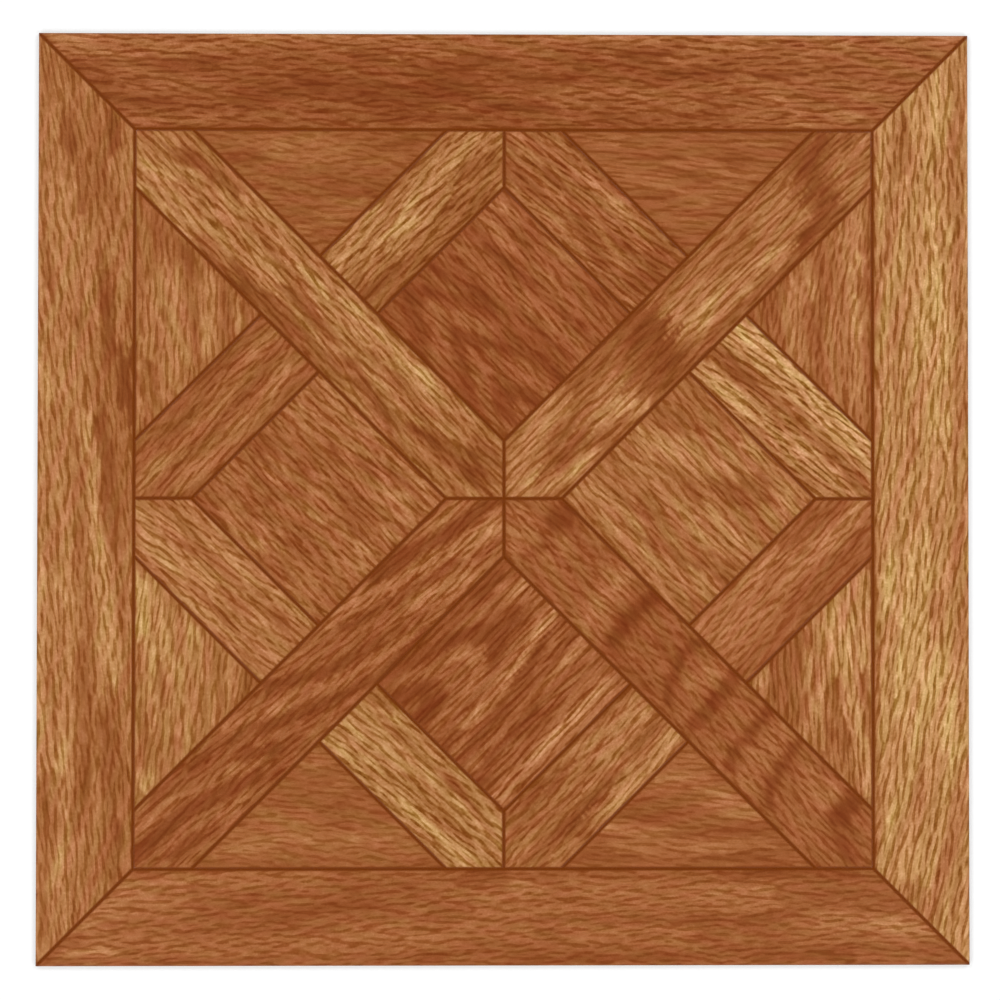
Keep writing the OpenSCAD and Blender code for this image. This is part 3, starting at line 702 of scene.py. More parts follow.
@dataclass(frozen=True)
class Parquet:
    """The layout of the printed parquet, with the sizes that the pressed joint lines have."""

    side: float
    border_w: float = 31.5
    arm_w: float = 26.8
    lattice_w: float = 26.6
    # Origins of the boards' own frames, for the boards of the first quarter
    arm_mid: Point = (61.0, 61.0)
    lattice_mid: Point = (95.4, 25.5)
    square_mid: Point = (60.5, 0.0)
    triangle_mid: Point = (100.0, 60.0)

    @property
    def field(self) -> float:
        """Half the side of the field inside the border."""
        return self.side / 2 - self.border_w

    def outline(self, board: Board) -> Array:
        """Finds a board's corners, on the centre lines of its joints.

        Args:
            board: The board.

        Returns:
            The corners, anticlockwise.
        """
        half, inside = self.side / 2, self.field
        arm, strip = self.arm_w / math.sqrt(2), self.lattice_w / math.sqrt(2)
        near, far = inside - strip, inside + strip
        at_near = ((near + arm) / 2, (near - arm) / 2)
        at_far = ((far + arm) / 2, (far - arm) / 2)
        corners = {
            Cut.BORDER: [(inside, -inside), (half, -half), (half, half), (inside, inside)],
            Cut.ARM: [(0, 0), (arm, 0), (inside, inside - arm), (inside, inside),
                      (inside - arm, inside), (0, arm)],
            Cut.LATTICE: [(near, 0), (inside, 0), (inside, strip), at_far, at_near],
            Cut.SQUARE: [(arm, 0), (at_near[0], -at_near[1]), (near, 0), at_near],
            Cut.TRIANGLE: [(inside, strip), (inside, inside - arm), at_far],
        }[board.cut]
        found = np.array(corners, dtype=float)
        if board.mirrored:
            found = found[::-1] * (1.0, -1.0)
        return self.turned(found, board.quarter)

    def frame(self, board: Board) -> tuple[Array, float]:
        """Finds the frame in which a board's streaks are given.

        Args:
            board: The board.

        Returns:
            The frame's origin, and the angle of its u axis in degrees.
        """
        hand = -1.0 if board.mirrored else 1.0
        turn = 90.0 * board.quarter
        border_mid = (self.side / 2 - self.border_w / 2, 0.0)
        origin, angle = {
            Cut.BORDER: (border_mid, 90.0 if board.quarter % 2 == 0 else 0.0),
            Cut.ARM: (self.arm_mid, turn + 45.0),
            Cut.LATTICE: ((self.lattice_mid[0], hand * self.lattice_mid[1]), turn + hand * 135.0),
            Cut.SQUARE: (self.square_mid, 45.0 if board.quarter == 3 else -45.0),
            Cut.TRIANGLE: ((self.triangle_mid[0], hand * self.triangle_mid[1]), turn + 90.0),
        }[board.cut]
        return self.turned(np.array([origin]), board.quarter)[0], angle

    @staticmethod
    def turned(points: Array, quarter: int) -> Array:
        """Turns points about the tile's centre by a number of quarter turns."""
        cos, sin = ((1, 0), (0, 1), (-1, 0), (0, -1))[quarter]
        return points @ np.array([[cos, sin], [-sin, cos]], dtype=float)


def inward_normals(corners: Array) -> Array:
    """Finds the directions that point inwards from the sides of a convex outline.

    Args:
        corners: The outline's corners, anticlockwise.

    Returns:
        A unit vector for each side, one a row.
    """
    runs = np.roll(corners, -1, axis=0) - corners
    return np.stack([-runs[:, 1], runs[:, 0]], axis=1) / np.linalg.norm(runs, axis=1)[:, None]


def side_distances(corners: Array, points: Array) -> Array:
    """Measures how far inside each side of a convex outline points are.

    Args:
        corners: The outline's corners, anticlockwise.
        points: The points, one a row.

    Returns:
        A row for each point with its distance to each side, negative outside.
    """
    inward = inward_normals(corners)
    return points @ inward.T - (corners * inward).sum(axis=1)


def inset(corners: Array, depth: float) -> Array:
    """Moves every side of a convex outline inwards.

    Args:
        corners: The outline's corners, anticlockwise.
        depth: How far the sides move.

    Returns:
        The corners of the smaller outline.
    """
    inward = inward_normals(corners)
    reach = (corners * inward).sum(axis=1) + depth
    found = []
    for i in range(len(corners)):
        pair = [i - 1, i]
        found.append(np.linalg.solve(inward[pair], reach[pair]))
    return np.array(found)


def stepped(corners: Array, step: float) -> Array:
    """Walks round a closed outline.

    Args:
        corners: The outline's corners.
        step: The longest step.

    Returns:
        The corners, with evenly spaced points between them.
    """
    found = []
    for start, end in zip(corners, np.roll(corners, -1, axis=0)):
        count = max(1, math.ceil(float(np.linalg.norm(end - start)) / step))
        found.append(start + (end - start) * (np.arange(count) / count)[:, None])
    return np.concatenate(found)


def triangulated(points: Array, edges: list[tuple[int, int]]) -> tuple[Array, Array]:
    """Fills an area with triangles that keep to given edges.

    Args:
        points: The points of the plan, one a row.
        edges: Pairs of point numbers.

    Returns:
        The vertices, and the triangles as rows of three vertex numbers.
    """
    places = [Vector(point) for point in points.tolist()]
    vertices, _, faces, *_ = delaunay_2d_cdt(places, edges, [], 0, SNAP, False)
    return np.array([tuple(vertex) for vertex in vertices]), np.array(faces)


@dataclass(frozen=True)
class PrintedFilm:
    """PVC print film under a clear wear layer, rolled on hot and lightly embossed.

    The eye sees a printed oak pattern through a satin skin: fine flecks along the grain, broad
    tones under them, dark printed joint lines, and a soft shine that the flecks break up.
    """

    name: str = "printed_pvc_film_satin_embossed"
    # The wood's tones from dark to light, and the lightness steps that they stand for
    inks: tuple[tuple[float, str], ...] = (
        (70, "#76320a"), (95, "#904c20"), (115, "#a36132"),
        (135, "#b57746"), (155, "#c68e58"), (180, "#d7aa6d"),
    )
    joint_ink: str = "#783500"
    # Grey-brown of the painted shade along the tile's outer edge, standing in for the edge's own shade
    rim_shade_colour: str = "#7d5a3f"
    # Shares of red, green and blue light that the wood's reddish and golden parts pass
    reddish: Tint = (1.05, 0.94, 1.05, 1.0)
    golden: Tint = (0.95, 1.06, 0.90, 1.0)
    # The eye's response to light, and how much of a fleck's step of tone red, green and blue take
    eye: float = 2.2
    fleck_step: tuple[float, float, float] = (0.92, 0.93, 1.02)
    # Spacing of the flecks across the grain
    fleck_gap: float = 2.5
    # Sizes along the grain, in fleck lengths, and across it: a group of flecks, broad streaks,
    # fibres, and the grain of the printing, drawn as coarse as it needs to show
    group: Point = (1.0, 2.0)
    broad: Point = (4.5, 3.2)
    fibre: Point = (0.8, 1.3)
    speck: Point = (0.15, 0.75)
    # Pattern values at which a fleck is fully dark and fully light
    fleck_range: Point = (0.37, 0.54)
    # Layers of finer detail in the broad streaks, the fibres and the printing's grain, and how
    # strong they are
    detail: float = 1.0
    detail_share: float = 0.45
    # Where the flecks' dark and light ends lie about the wood's own tone
    fleck_ends: Point = (-1.22, 0.78)
    # Strength of each layer, as a share of how far the wood's tone is above ink_floor
    fleck_depth: float = 0.275
    broad_depth: float = 0.22
    fibre_depth: float = 0.29
    speck_depth: float = 0.22
    ink_floor: float = 60.0
    # Distance from a joint's middle at which its ink is full, and at which it is gone
    line_full: float = 0.25
    line_gone: float = 0.95
    # The same for the painted shade along the tile's edge, where full lies beyond it, so that the shade
    # stays thin
    rim_shade_full: float = -0.8
    rim_shade_gone: float = 0.6
    # Roughness in a dark and in a light fleck, and the strengths of those flecks
    satin: Point = (0.32, 0.26)
    satin_range: Point = (-0.3, 0.3)
    # PVC has an IOR of about 1.53
    ior: float = 1.53
    # Depth of the embossing
    relief: float = 0.015

    def patterns(self, tree: Tree, grain: Socket) -> list[Socket]:
        """Adds the patterns that the wood is made of.

        Args:
            tree: The material's tree.
            grain: Where each place lies along and across the grain.

        Returns:
            The flecks, the broad streaks, the fibres and the printing's grain.
        """
        gabor = {"Frequency": self.group[1] / self.fleck_gap, "Orientation": math.pi / 2}
        noise = {"Detail": self.detail, "Roughness": self.detail_share}
        whole, even = (0.0, 1.0), (-1.0, 1.0)
        layers = []
        for size, kind, look, (dark, light), depth, ends in (
            (self.group, "Gabor", gabor, self.fleck_range, self.fleck_depth, self.fleck_ends),
            (self.broad, "Noise", noise, whole, self.broad_depth, even),
            (self.fibre, "Noise", noise, whole, self.fibre_depth, even),
            (self.speck, "Noise", noise, whole, self.speck_depth, even),
        ):
            scale = (1 / size[0], 1 / size[1], 1.0)
            at = add_node(tree, "ShaderNodeVectorMath", {"operation": "MULTIPLY"}, {0: grain, 1: scale})
            pattern = add_node(tree, f"ShaderNodeTex{kind}", {}, {
                "Vector": at.outputs[0], "Scale": 1.0, **look,
            })
            layers.append(add_node(tree, "ShaderNodeMapRange", {"interpolation_type": "SMOOTHSTEP"}, {
                "Value": pattern.outputs[0], "From Min": dark, "From Max": light,
                "To Min": depth * ends[0], "To Max": depth * ends[1],
            }).outputs[0])
        return layers

    def inked(self, tree: Tree, level: Socket, gilt: Socket) -> Socket:
        """Adds the wood's colour without its flecks.

        Args:
            tree: The material's tree.
            level: The wood's tone.
            gilt: How golden the wood is, from -1 to 1.

        Returns:
            The colour.
        """
        low, high = self.inks[0][0], self.inks[-1][0]
        place = add_node(tree, "ShaderNodeMapRange", {}, {
            "Value": level, "From Min": low, "From Max": high,
        })
        ramp = add_node(tree, "ShaderNodeValToRGB", {}, {0: place.outputs[0]})
        stops = ramp.color_ramp.elements
        for _ in self.inks[2:]:
            stops.new(0.5)
        for stop, (step, hex_code) in zip(stops, self.inks):
            stop.position = (step - low) / (high - low)
            stop.color = linear(hex_code)
        hue = add_node(tree, "ShaderNodeMapRange", {}, {"Value": gilt, "From Min": -1.0, "From Max": 1.0})
        tint = add_node(tree, "ShaderNodeMix", {"data_type": "RGBA"}, {
            "Factor": hue.outputs[0], MIX_A: self.reddish, MIX_B: self.golden,
        })
        return add_node(tree, "ShaderNodeMix", {"data_type": "RGBA", "blend_type": "MULTIPLY"}, {
            "Factor": 1.0, MIX_A: ramp.outputs[0], MIX_B: tint.outputs[MIXED],
        }).outputs[MIXED]

    def flecked(self, tree: Tree, colour: Socket, rise: Socket) -> Socket:
        """Lightens and darkens a colour by steps that look even to the eye.

        Args:
            tree: The material's tree.
            colour: The colour.
            rise: The step, in tones.

        Returns:
            The new colour.
        """
        seen = add_node(tree, "ShaderNodeGamma", {}, {"Color": colour, "Gamma": 1 / self.eye})
        stepped_up = add_node(tree, "ShaderNodeVectorMath", {"operation": "MULTIPLY_ADD"}, {
            0: rise, 1: [share / WHITE for share in self.fleck_step], 2: seen.outputs[0],
        })
        kept = add_node(tree, "ShaderNodeVectorMath", {"operation": "MAXIMUM"}, {
            0: stepped_up.outputs[0], 1: (0, 0, 0),
        })
        return add_node(tree, "ShaderNodeGamma", {}, {
            "Color": kept.outputs[0], "Gamma": self.eye,
        }).outputs[0]

    def lined(self, tree: Tree, colour: Socket) -> Socket:
        """Prints the dark lines of the joints over a colour, and paints a thin shade along the tile's edge.

        Args:
            tree: The material's tree.
            colour: The colour.

        Returns:
            The new colour.
        """
        edge = add_node(tree, "ShaderNodeAttribute", {"attribute_name": "edge"}, {}).outputs["Vector"]
        to_joint, to_rim, _ = add_node(tree, "ShaderNodeSeparateXYZ", {}, {0: edge}).outputs
        # First the printed lines along the joints, then the painted shade along the tile's outer edge
        for distance, full, gone, hex_code in (
            (to_joint, self.line_full, self.line_gone, self.joint_ink),
            (to_rim, self.rim_shade_full, self.rim_shade_gone, self.rim_shade_colour),
        ):
            cover = add_node(tree, "ShaderNodeMapRange", {"interpolation_type": "SMOOTHSTEP"}, {
                "Value": distance, "From Min": gone, "From Max": full,
            })
            colour = add_node(tree, "ShaderNodeMix", {"data_type": "RGBA"}, {
                "Factor": cover.outputs[0], MIX_A: colour, MIX_B: linear(hex_code),
            }).outputs[MIXED]
        return colour

    def build(self) -> bpy.types.Material:
        """Makes the material.

        Returns:
            The material.
        """
        material, tree = new_material(self.name)
        grain = add_node(tree, "ShaderNodeAttribute", {"attribute_name": "grain"}, {}).outputs["Vector"]
        wood = add_node(tree, "ShaderNodeAttribute", {"attribute_name": "wood"}, {}).outputs["Vector"]
        tone, gilt, contrast = add_node(tree, "ShaderNodeSeparateXYZ", {}, {0: wood}).outputs

        group, broad, fibre, speck = self.patterns(tree, grain)
        flecks = add_node(tree, "ShaderNodeMath", {"operation": "ADD"}, {0: group, 1: fibre})
        flecks = add_node(tree, "ShaderNodeMath", {"operation": "ADD"}, {0: flecks.outputs[0], 1: speck})
        above = add_node(tree, "ShaderNodeMath", {"operation": "SUBTRACT"}, {0: tone, 1: self.ink_floor})
        strength = add_node(tree, "ShaderNodeMath", {"operation": "MULTIPLY"}, {
            0: above.outputs[0], 1: contrast,
        })
        level = add_node(tree, "ShaderNodeMath", {"operation": "MULTIPLY_ADD"}, {
            0: broad, 1: strength.outputs[0], 2: tone,
        })
        rise = add_node(tree, "ShaderNodeMath", {"operation": "MULTIPLY"}, {
            0: flecks.outputs[0], 1: strength.outputs[0],
        })
        colour = self.inked(tree, level.outputs[0], gilt)
        colour = self.flecked(tree, colour, rise.outputs[0])
        colour = self.lined(tree, colour)

        shine = add_node(tree, "ShaderNodeMapRange", {}, {
            "Value": flecks.outputs[0], "From Min": self.satin_range[0], "From Max": self.satin_range[1],
            "To Min": self.satin[0], "To Max": self.satin[1],
        })
        bump = add_node(tree, "ShaderNodeBump", {}, {
            "Strength": 1.0, "Distance": self.relief * MM, "Height": fibre,
        })
        shader = add_node(tree, "ShaderNodeBsdfPrincipled", {}, {
            "Base Color": colour, "Roughness": shine.outputs[0], "IOR": self.ior, "Normal": bump.outputs[0],
        })
        add_node(tree, "ShaderNodeOutputMaterial", {}, {0: shader.outputs[0]})
        return material


@dataclass(frozen=True)
class PlainVinyl:
    """Filled vinyl with no print: limestone powder in PVC, either die-cut or calendered.

    The eye sees a dull grey-brown mass with pale grains of filler. A cut edge is rough, and a
    calendered back has the fine even pebble of the roller. The powder's own grains, below a
    tenth of a millimetre, wouldn't show, so grain draws them as coarse as they need to show.
    """

    name: str
    colour: str
    filler: str
    grain: float
    roughness: Point
    relief: float
    ior: float = 1.53
    # Layers of finer detail in the grains, and how strong they are
    detail: float = 3.0
    detail_share: float = 0.6
    # Pattern values between which the filler comes to show, and between which it gets rougher
    filler_range: Point = (0.35, 0.75)
    rough_range: Point = (0.3, 0.7)

    def build(self) -> bpy.types.Material:
        """Makes the material.

        Returns:
            The material.
        """
        material, tree = new_material(self.name)
        place = add_node(tree, "ShaderNodeTexCoord", {}, {}).outputs["Object"]
        grains = add_node(tree, "ShaderNodeTexNoise", {}, {
            "Vector": place, "Scale": 1 / (self.grain * MM), "Detail": self.detail,
            "Roughness": self.detail_share,
        }).outputs["Fac"]
        speck = add_node(tree, "ShaderNodeMapRange", {}, {
            "Value": grains, "From Min": self.filler_range[0], "From Max": self.filler_range[1],
        }).outputs[0]
        colour = add_node(tree, "ShaderNodeMix", {"data_type": "RGBA"}, {
            "Factor": speck, MIX_A: linear(self.colour), MIX_B: linear(self.filler),
        }).outputs[MIXED]
        rough = add_node(tree, "ShaderNodeMapRange", {}, {
            "Value": grains, "From Min": self.rough_range[0], "From Max": self.rough_range[1],
            "To Min": self.roughness[0], "To Max": self.roughness[1],
        }).outputs[0]
        bump = add_node(tree, "ShaderNodeBump", {}, {
            "Strength": 1.0, "Distance": self.relief * MM, "Height": grains,
        }).outputs[0]
        shader = add_node(tree, "ShaderNodeBsdfPrincipled", {}, {
            "Base Color": colour, "Roughness": rough, "IOR": self.ior, "Normal": bump,
        })
        add_node(tree, "ShaderNodeOutputMaterial", {}, {0: shader.outputs[0]})
        return material


@dataclass(frozen=True)
class MapLayout:
    """Where the sheet's parts lie on the flat map that its finish is baked to.

    The map's side is 1. The face fills a large square, the back a small one, and the four cut
    sides lie in strips above the face.
    """

    face_at: float = 0.005
    face_size: float = 0.84
    back_at: Point = (0.855, 0.005)
    back_size: float = 0.14
    strip_at: float = 0.86
    strip_gap: float = 0.03
    # Height on the map of a millimetre of the cut side, and of the broken edge below it
    side_scale: float = 0.006
    bevel_size: float = 0.01
    # Height in millimetres below which a corner belongs to the broken edge's lower end
    bevel_low: float = 0.01


@dataclass
class VinylTile:
    """The tile's sheet as one closed mesh, with the figure of every board held in its corners."""

    low: Vector
    high: Vector
    # Width of a pressed joint at the face and at its bottom, and its depth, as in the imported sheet
    joint_w: float = 0.9
    joint_floor_w: float = 0.35
    joint_depth: float = 0.12
    # Width of the rounded shoulder beside a joint, and how far it drops
    shoulder_w: float = 0.3
    shoulder_drop: float = 0.012
    # Width of the broken lower edge where the die has cut through
    lower_bevel: float = 0.1
    # Spacing of the mesh on the face and on the back
    step: float = 1.4
    back_step: float = 12.0
    # Room left clear of grid points beside a joint, as a share of step, and inside the back's edge
    face_room: float = 0.4
    back_room: float = 1.0
    # Angle in degrees between two faces from which their shared side looks sharp
    crease: float = 35.0
    # Depth of the slow waves that the roller leaves in the face, their size, their number and
    # seed, and the distance from a joint's shoulder over which they set in
    ripple: float = 0.008
    ripple_size: Point = (7.0, 16.0)
    ripple_waves: int = 9
    ripple_seed: int = 7
    ripple_rise: float = 2.0
    # Width of a streak's faded edge, and how far the wood's growth pushes it about
    softness: float = 1.3
    wander_u: float = 2.8
    wander_v: float = 0.5
    # How much further than its own tone a thin streak goes, since its faded edges weaken it: its
    # step from the board's tone grows by crispness over the sum of its width and thin_w
    crispness: float = 0.75
    thin_w: float = 1.0
    # How much the wood's hue drifts within a board
    drift: float = 0.6
    # How much more golden the palest wood gets with each step of tone above pale_tone
    gilding: float = 1 / 60
    pale_tone: float = 132.0
    # How far the flecks sway across the grain
    sway: float = 0.25
    # Shortest and longest waves along the grain, and across it, in the push along the grain, in
    # the push across it, in the flecks' sway and in the hue's drift
    push_u: tuple[Point, Point] = ((12, 40), (3.4, 7))
    push_v: tuple[Point, Point] = ((8, 25), (5, 12))
    sway_waves: tuple[Point, Point] = ((50, 120), (20, 60))
    drift_waves: tuple[Point, Point] = ((14, 45), (4, 13))
    # How far one board lies from the next in the flecks' pattern, so that no two are alike
    apart_u: float = 13.0
    apart_w: float = 3.7
    # Random seeds kept for each board
    seeds: int = 100
    map_layout: MapLayout = MapLayout()
    boards: tuple[Board, ...] = BORDERS + ARMS + LATTICE + SQUARES + TRIANGLES
    parquet: Parquet = field(init=False)

    def __post_init__(self) -> None:
        """Takes the tile's side from the frame."""
        self.parquet = Parquet(side=(self.high.x - self.low.x) / MM)

    @property
    def half(self) -> float:
        """Half the tile's side."""
        return self.parquet.side / 2

    @property
    def thickness(self) -> float:
        """The sheet's thickness."""
        return (self.high.z - self.low.z) / MM

    def joint_distance(self, points: Array, rim: bool) -> Array:
        """Measures how far each point of the face is from the middle of the nearest joint.

        Args:
            points: Points of the plan, one a row.
            rim: Whether the half joint round the tile's edge counts.

        Returns:
            A distance for each point.
        """
        found = np.full(len(points), -np.inf)
        for board in self.boards:
            away = side_distances(self.parquet.outline(board), points)
            if board.cut is Cut.BORDER and not rim:
                # The second side of a border strip is the tile's own edge
                away = np.delete(away, 1, axis=1)
            found = np.maximum(found, away.min(axis=1))
        return found

    def face_height(self, points: Array) -> Array:
        """Gives the height of the face at each point.

        Args:
            points: Points of the plan, one a row.

        Returns:
            Heights above the underside.
        """
        away = self.joint_distance(points, rim=True)
        slope_w = (self.joint_w - self.joint_floor_w) / 2
        pressed = np.clip((self.joint_w / 2 - away) / slope_w, 0, 1)
        shoulder = np.clip((self.joint_w / 2 + self.shoulder_w - away) / self.shoulder_w, 0, 1)
        level = np.clip((away - self.joint_w / 2 - self.shoulder_w) / self.ripple_rise, 0, 1)
        roller = Sway(self.ripple_seed, 0.5, self.ripple_size, self.ripple_size, self.ripple_waves)
        waves = roller.at(points[:, 0], points[:, 1])
        drop = self.shoulder_drop * shoulder * (1 - pressed) + self.joint_depth * pressed
        return self.thickness - drop - self.ripple * level * np.clip(0.5 + waves, 0, 1)

    def plan(self) -> tuple[Array, Array]:
        """Lays the mesh of the face out in plan.

        Returns:
            The vertices, and the triangles as rows of three vertex numbers.
        """
        points, edges = [], []
        rings = [self.joint_floor_w / 2, self.joint_w / 2, self.joint_w / 2 + self.shoulder_w]
        outlines = [self.parquet.outline(board) for board in self.boards]
        loops = [inset(outline, ring) for outline in outlines for ring in rings]
        square = np.array([(-1, -1), (1, -1), (1, 1), (-1, 1)]) * self.half
        for loop in loops + [square]:
            ring = stepped(loop, self.step)
            first = sum(len(p) for p in points)
            count = len(ring)
            points.append(ring)
            edges += [(first + i, first + (i + 1) % count) for i in range(count)]
        across = np.arange(-self.half + self.step / 2, self.half, self.step)
        grid = np.stack(np.meshgrid(across, across), axis=-1).reshape(-1, 2)
        grid = grid[self.joint_distance(grid, rim=True) > rings[-1] + self.face_room * self.step]
        points.append(grid)
        return triangulated(np.concatenate(points), edges)

    def rim_loop(self, triangles: Array) -> list[int]:
        """Finds the vertices round the face's outer edge.

        Args:
            triangles: The face's triangles.

        Returns:
            The vertex numbers, anticlockwise.
        """
        sides = np.concatenate([triangles[:, [0, 1]], triangles[:, [1, 2]], triangles[:, [2, 0]]])
        known = {(int(a), int(b)) for a, b in sides}
        following = {a: b for a, b in known if (b, a) not in known}
        loop = [min(following)]
        while following[loop[-1]] != loop[0]:
            loop.append(following[loop[-1]])
        return loop

    def board_of(self, centres: Array) -> Array:
        """Tells which board each point of the face lies in."""
        depth = [side_distances(self.parquet.outline(b), centres).min(axis=1) for b in self.boards]
        return np.argmax(depth, axis=0)

    def figure(self, number: int, points: Array) -> tuple[Array, Array]:
        """Works out the printed figure of one board.

        Args:
            number: The board's place in the list of boards.
            points: Points of the plan, one a row.

        Returns:
            For each point, where it lies in the flecks, and its tone, gilt and contrast.
        """
        board = self.boards[number]
        origin, angle = self.parquet.frame(board)
        cos, sin = math.cos(math.radians(angle)), math.sin(math.radians(angle))
        x, y = (points - origin).T
        u, v = x * cos + y * sin, y * cos - x * sin
        seed = self.seeds * number
        far_u = u + board.ragged * Sway(seed + 1, self.wander_u, *self.push_u).at(u, v)
        far_v = v + board.ragged * Sway(seed + 2, self.wander_v, *self.push_v).at(u, v)
        tone = np.full(u.shape, float(board.tone.value))
        for mark in board.streaks:
            beyond = self.crispness / (mark.width + self.thin_w) * (mark.tone.value - board.tone.value)
            tone += (mark.tone.value + beyond - tone) * mark.cover(far_u, far_v, self.softness)
        slope = math.radians(board.lean) + math.radians(board.bend) * u / (2 * BEND_RUN)
        flow = v - slope * u + Sway(seed + 3, self.sway, *self.sway_waves).at(u, v)
        along = u / board.fleck + self.apart_u * number
        grain = np.stack([along, flow, np.full(u.shape, self.apart_w * number)], axis=1)
        drift = Sway(seed + 4, self.drift, *self.drift_waves).at(u, v)
        paleness = np.maximum(tone - self.pale_tone, 0)
        gilt = np.clip(board.gilt + drift + self.gilding * paleness, -1, 1)
        wood = np.stack([tone, gilt, np.full(u.shape, board.contrast)], axis=1)
        return grain, wood

    def closed(self, plan: Array, rim: list[int]) -> tuple[Array, list[Quad], list[Triangle]]:
        """Closes the face to a sheet, with cut sides, a broken lower edge and a back.

        Args:
            plan: The face's vertices in plan.
            rim: The vertices round the face, anticlockwise.

        Returns:
            All vertices in millimetres, the faces of the sides and the faces of the back.
        """
        count, first = len(rim), len(plan)
        bevel = self.lower_bevel
        outer = plan[rim]
        inner = np.clip(outer, -self.half + bevel, self.half - bevel)
        across = np.arange(-self.half + self.back_step, self.half - self.back_room, self.back_step)
        middle = np.stack(np.meshgrid(across, across), axis=-1).reshape(-1, 2)
        flat = np.concatenate([inner, middle])
        back_plan, back = triangulated(flat, [(i, (i + 1) % count) for i in range(count)])
        if len(back_plan) != len(flat):
            raise ValueError("the back's mesh lost or gained a vertex")
        vertices = np.concatenate([
            np.column_stack([plan, self.face_height(plan)]),
            np.column_stack([outer, np.full(count, bevel)]),
            np.column_stack([flat, np.zeros(len(flat))]),
        ])
        rings = [rim, list(range(first, first + count)), list(range(first + count, first + 2 * count))]
        walls = []
        for upper, lower in zip(rings, rings[1:]):
            for i in range(count):
                j = (i + 1) % count
                walls.append((upper[i], lower[i], lower[j], upper[j]))
        under = [tuple(first + count + i for i in reversed(triangle)) for triangle in back.tolist()]
        return vertices, walls, under

    def build(self, finishes: list[bpy.types.Material]) -> bpy.types.Object:
        """Makes the sheet's mesh and dresses it.

        Args:
            finishes: The materials of the face, the cut edge and the back.

        Returns:
            The object.
        """
        plan, face = self.plan()
        vertices, walls, under = self.closed(plan, self.rim_loop(face))
        mesh = bpy.data.meshes.new("floor_tile_sheet")
        mesh.from_pydata((vertices * MM).tolist(), [], face.tolist() + walls + under)
        kinds = [FACE] * len(face) + [SIDE] * len(walls) + [BACK] * len(under)
        mesh.polygons.foreach_set("material_index", kinds)
        for finish in finishes:
            mesh.materials.append(finish)
        mesh.shade_smooth()
        mesh.set_sharp_from_angle(angle=math.radians(self.crease))
        self.write_print(mesh, plan, face)
        self.write_map(mesh)
        mesh.validate()
        piece = bpy.data.objects.new("floor_tile_sheet", mesh)
        bpy.context.scene.collection.objects.link(piece)
        return piece

    def write_print(self, mesh: bpy.types.Mesh, plan: Array, face: Array) -> None:
        """Writes the printed figure to the corners of the face, and nothing to the other corners.

        Args:
            mesh: The sheet's mesh, whose first faces are the face's triangles.
            plan: The face's vertices in plan.
            face: The face's triangles.
        """
        corners = plan[face.reshape(-1)]
        owner = np.repeat(self.board_of(plan[face].mean(axis=1)), 3)
        grain, wood = np.zeros((len(corners), 3)), np.zeros((len(corners), 3))
        for number in range(len(self.boards)):
            own = owner == number
            grain[own], wood[own] = self.figure(number, corners[own])
        to_rim = self.half - np.abs(corners).max(axis=1)
        to_joint = self.joint_distance(corners, rim=False)
        edge = np.stack([to_joint, to_rim, np.zeros(len(corners))], axis=1)
        for name, values in (("grain", grain), ("wood", wood), ("edge", edge)):
            layer = mesh.attributes.new(name, "FLOAT_VECTOR", "CORNER")
            full = np.zeros((len(mesh.loops), 3), dtype=np.float32)
            full[: len(values)] = values
            layer.data.foreach_set("vector", full.ravel())

    def write_map(self, mesh: bpy.types.Mesh) -> None:
        """Unwraps the sheet: the face large, the back small, and each cut side in a strip.

        Args:
            mesh: The sheet's mesh.
        """
        places = np.empty(len(mesh.vertices) * 3, dtype=np.float32)
        mesh.vertices.foreach_get("co", places)
        numbers = np.empty(len(mesh.loops), dtype=np.int32)
        mesh.loops.foreach_get("vertex_index", numbers)
        at = places.reshape(-1, 3)[numbers] / MM
        kinds = np.empty(len(mesh.polygons), dtype=np.int32)
        totals = np.empty(len(mesh.polygons), dtype=np.int32)
        mesh.polygons.foreach_get("material_index", kinds)
        mesh.polygons.foreach_get("loop_total", totals)
        kind = np.repeat(kinds, totals)
        layout = self.map_layout
        share = (at[:, :2] + self.half) / self.parquet.side
        spots = layout.face_at + layout.face_size * share
        spots[kind == BACK] = layout.back_at + layout.back_size * share[kind == BACK]
        walls = kind == SIDE
        centres = np.repeat(at[walls].reshape(-1, 4, 3).mean(axis=1), 4, axis=0)
        along_x = np.abs(centres[:, 1]) > np.abs(centres[:, 0])
        run = np.where(along_x, share[walls, 0], share[walls, 1])
        side = np.where(along_x, centres[:, 1] > 0, 2 + (centres[:, 0] > 0))
        height = at[walls, 2]
        up = layout.side_scale * height - layout.bevel_size * (height < layout.bevel_low)
        spots[walls, 0] = layout.face_at + layout.face_size * run
        spots[walls, 1] = layout.strip_at + layout.strip_gap * side + up
        layer = mesh.uv_layers.new(name="OFBake")
        layer.data.foreach_set("uv", spots.astype(np.float32).ravel())


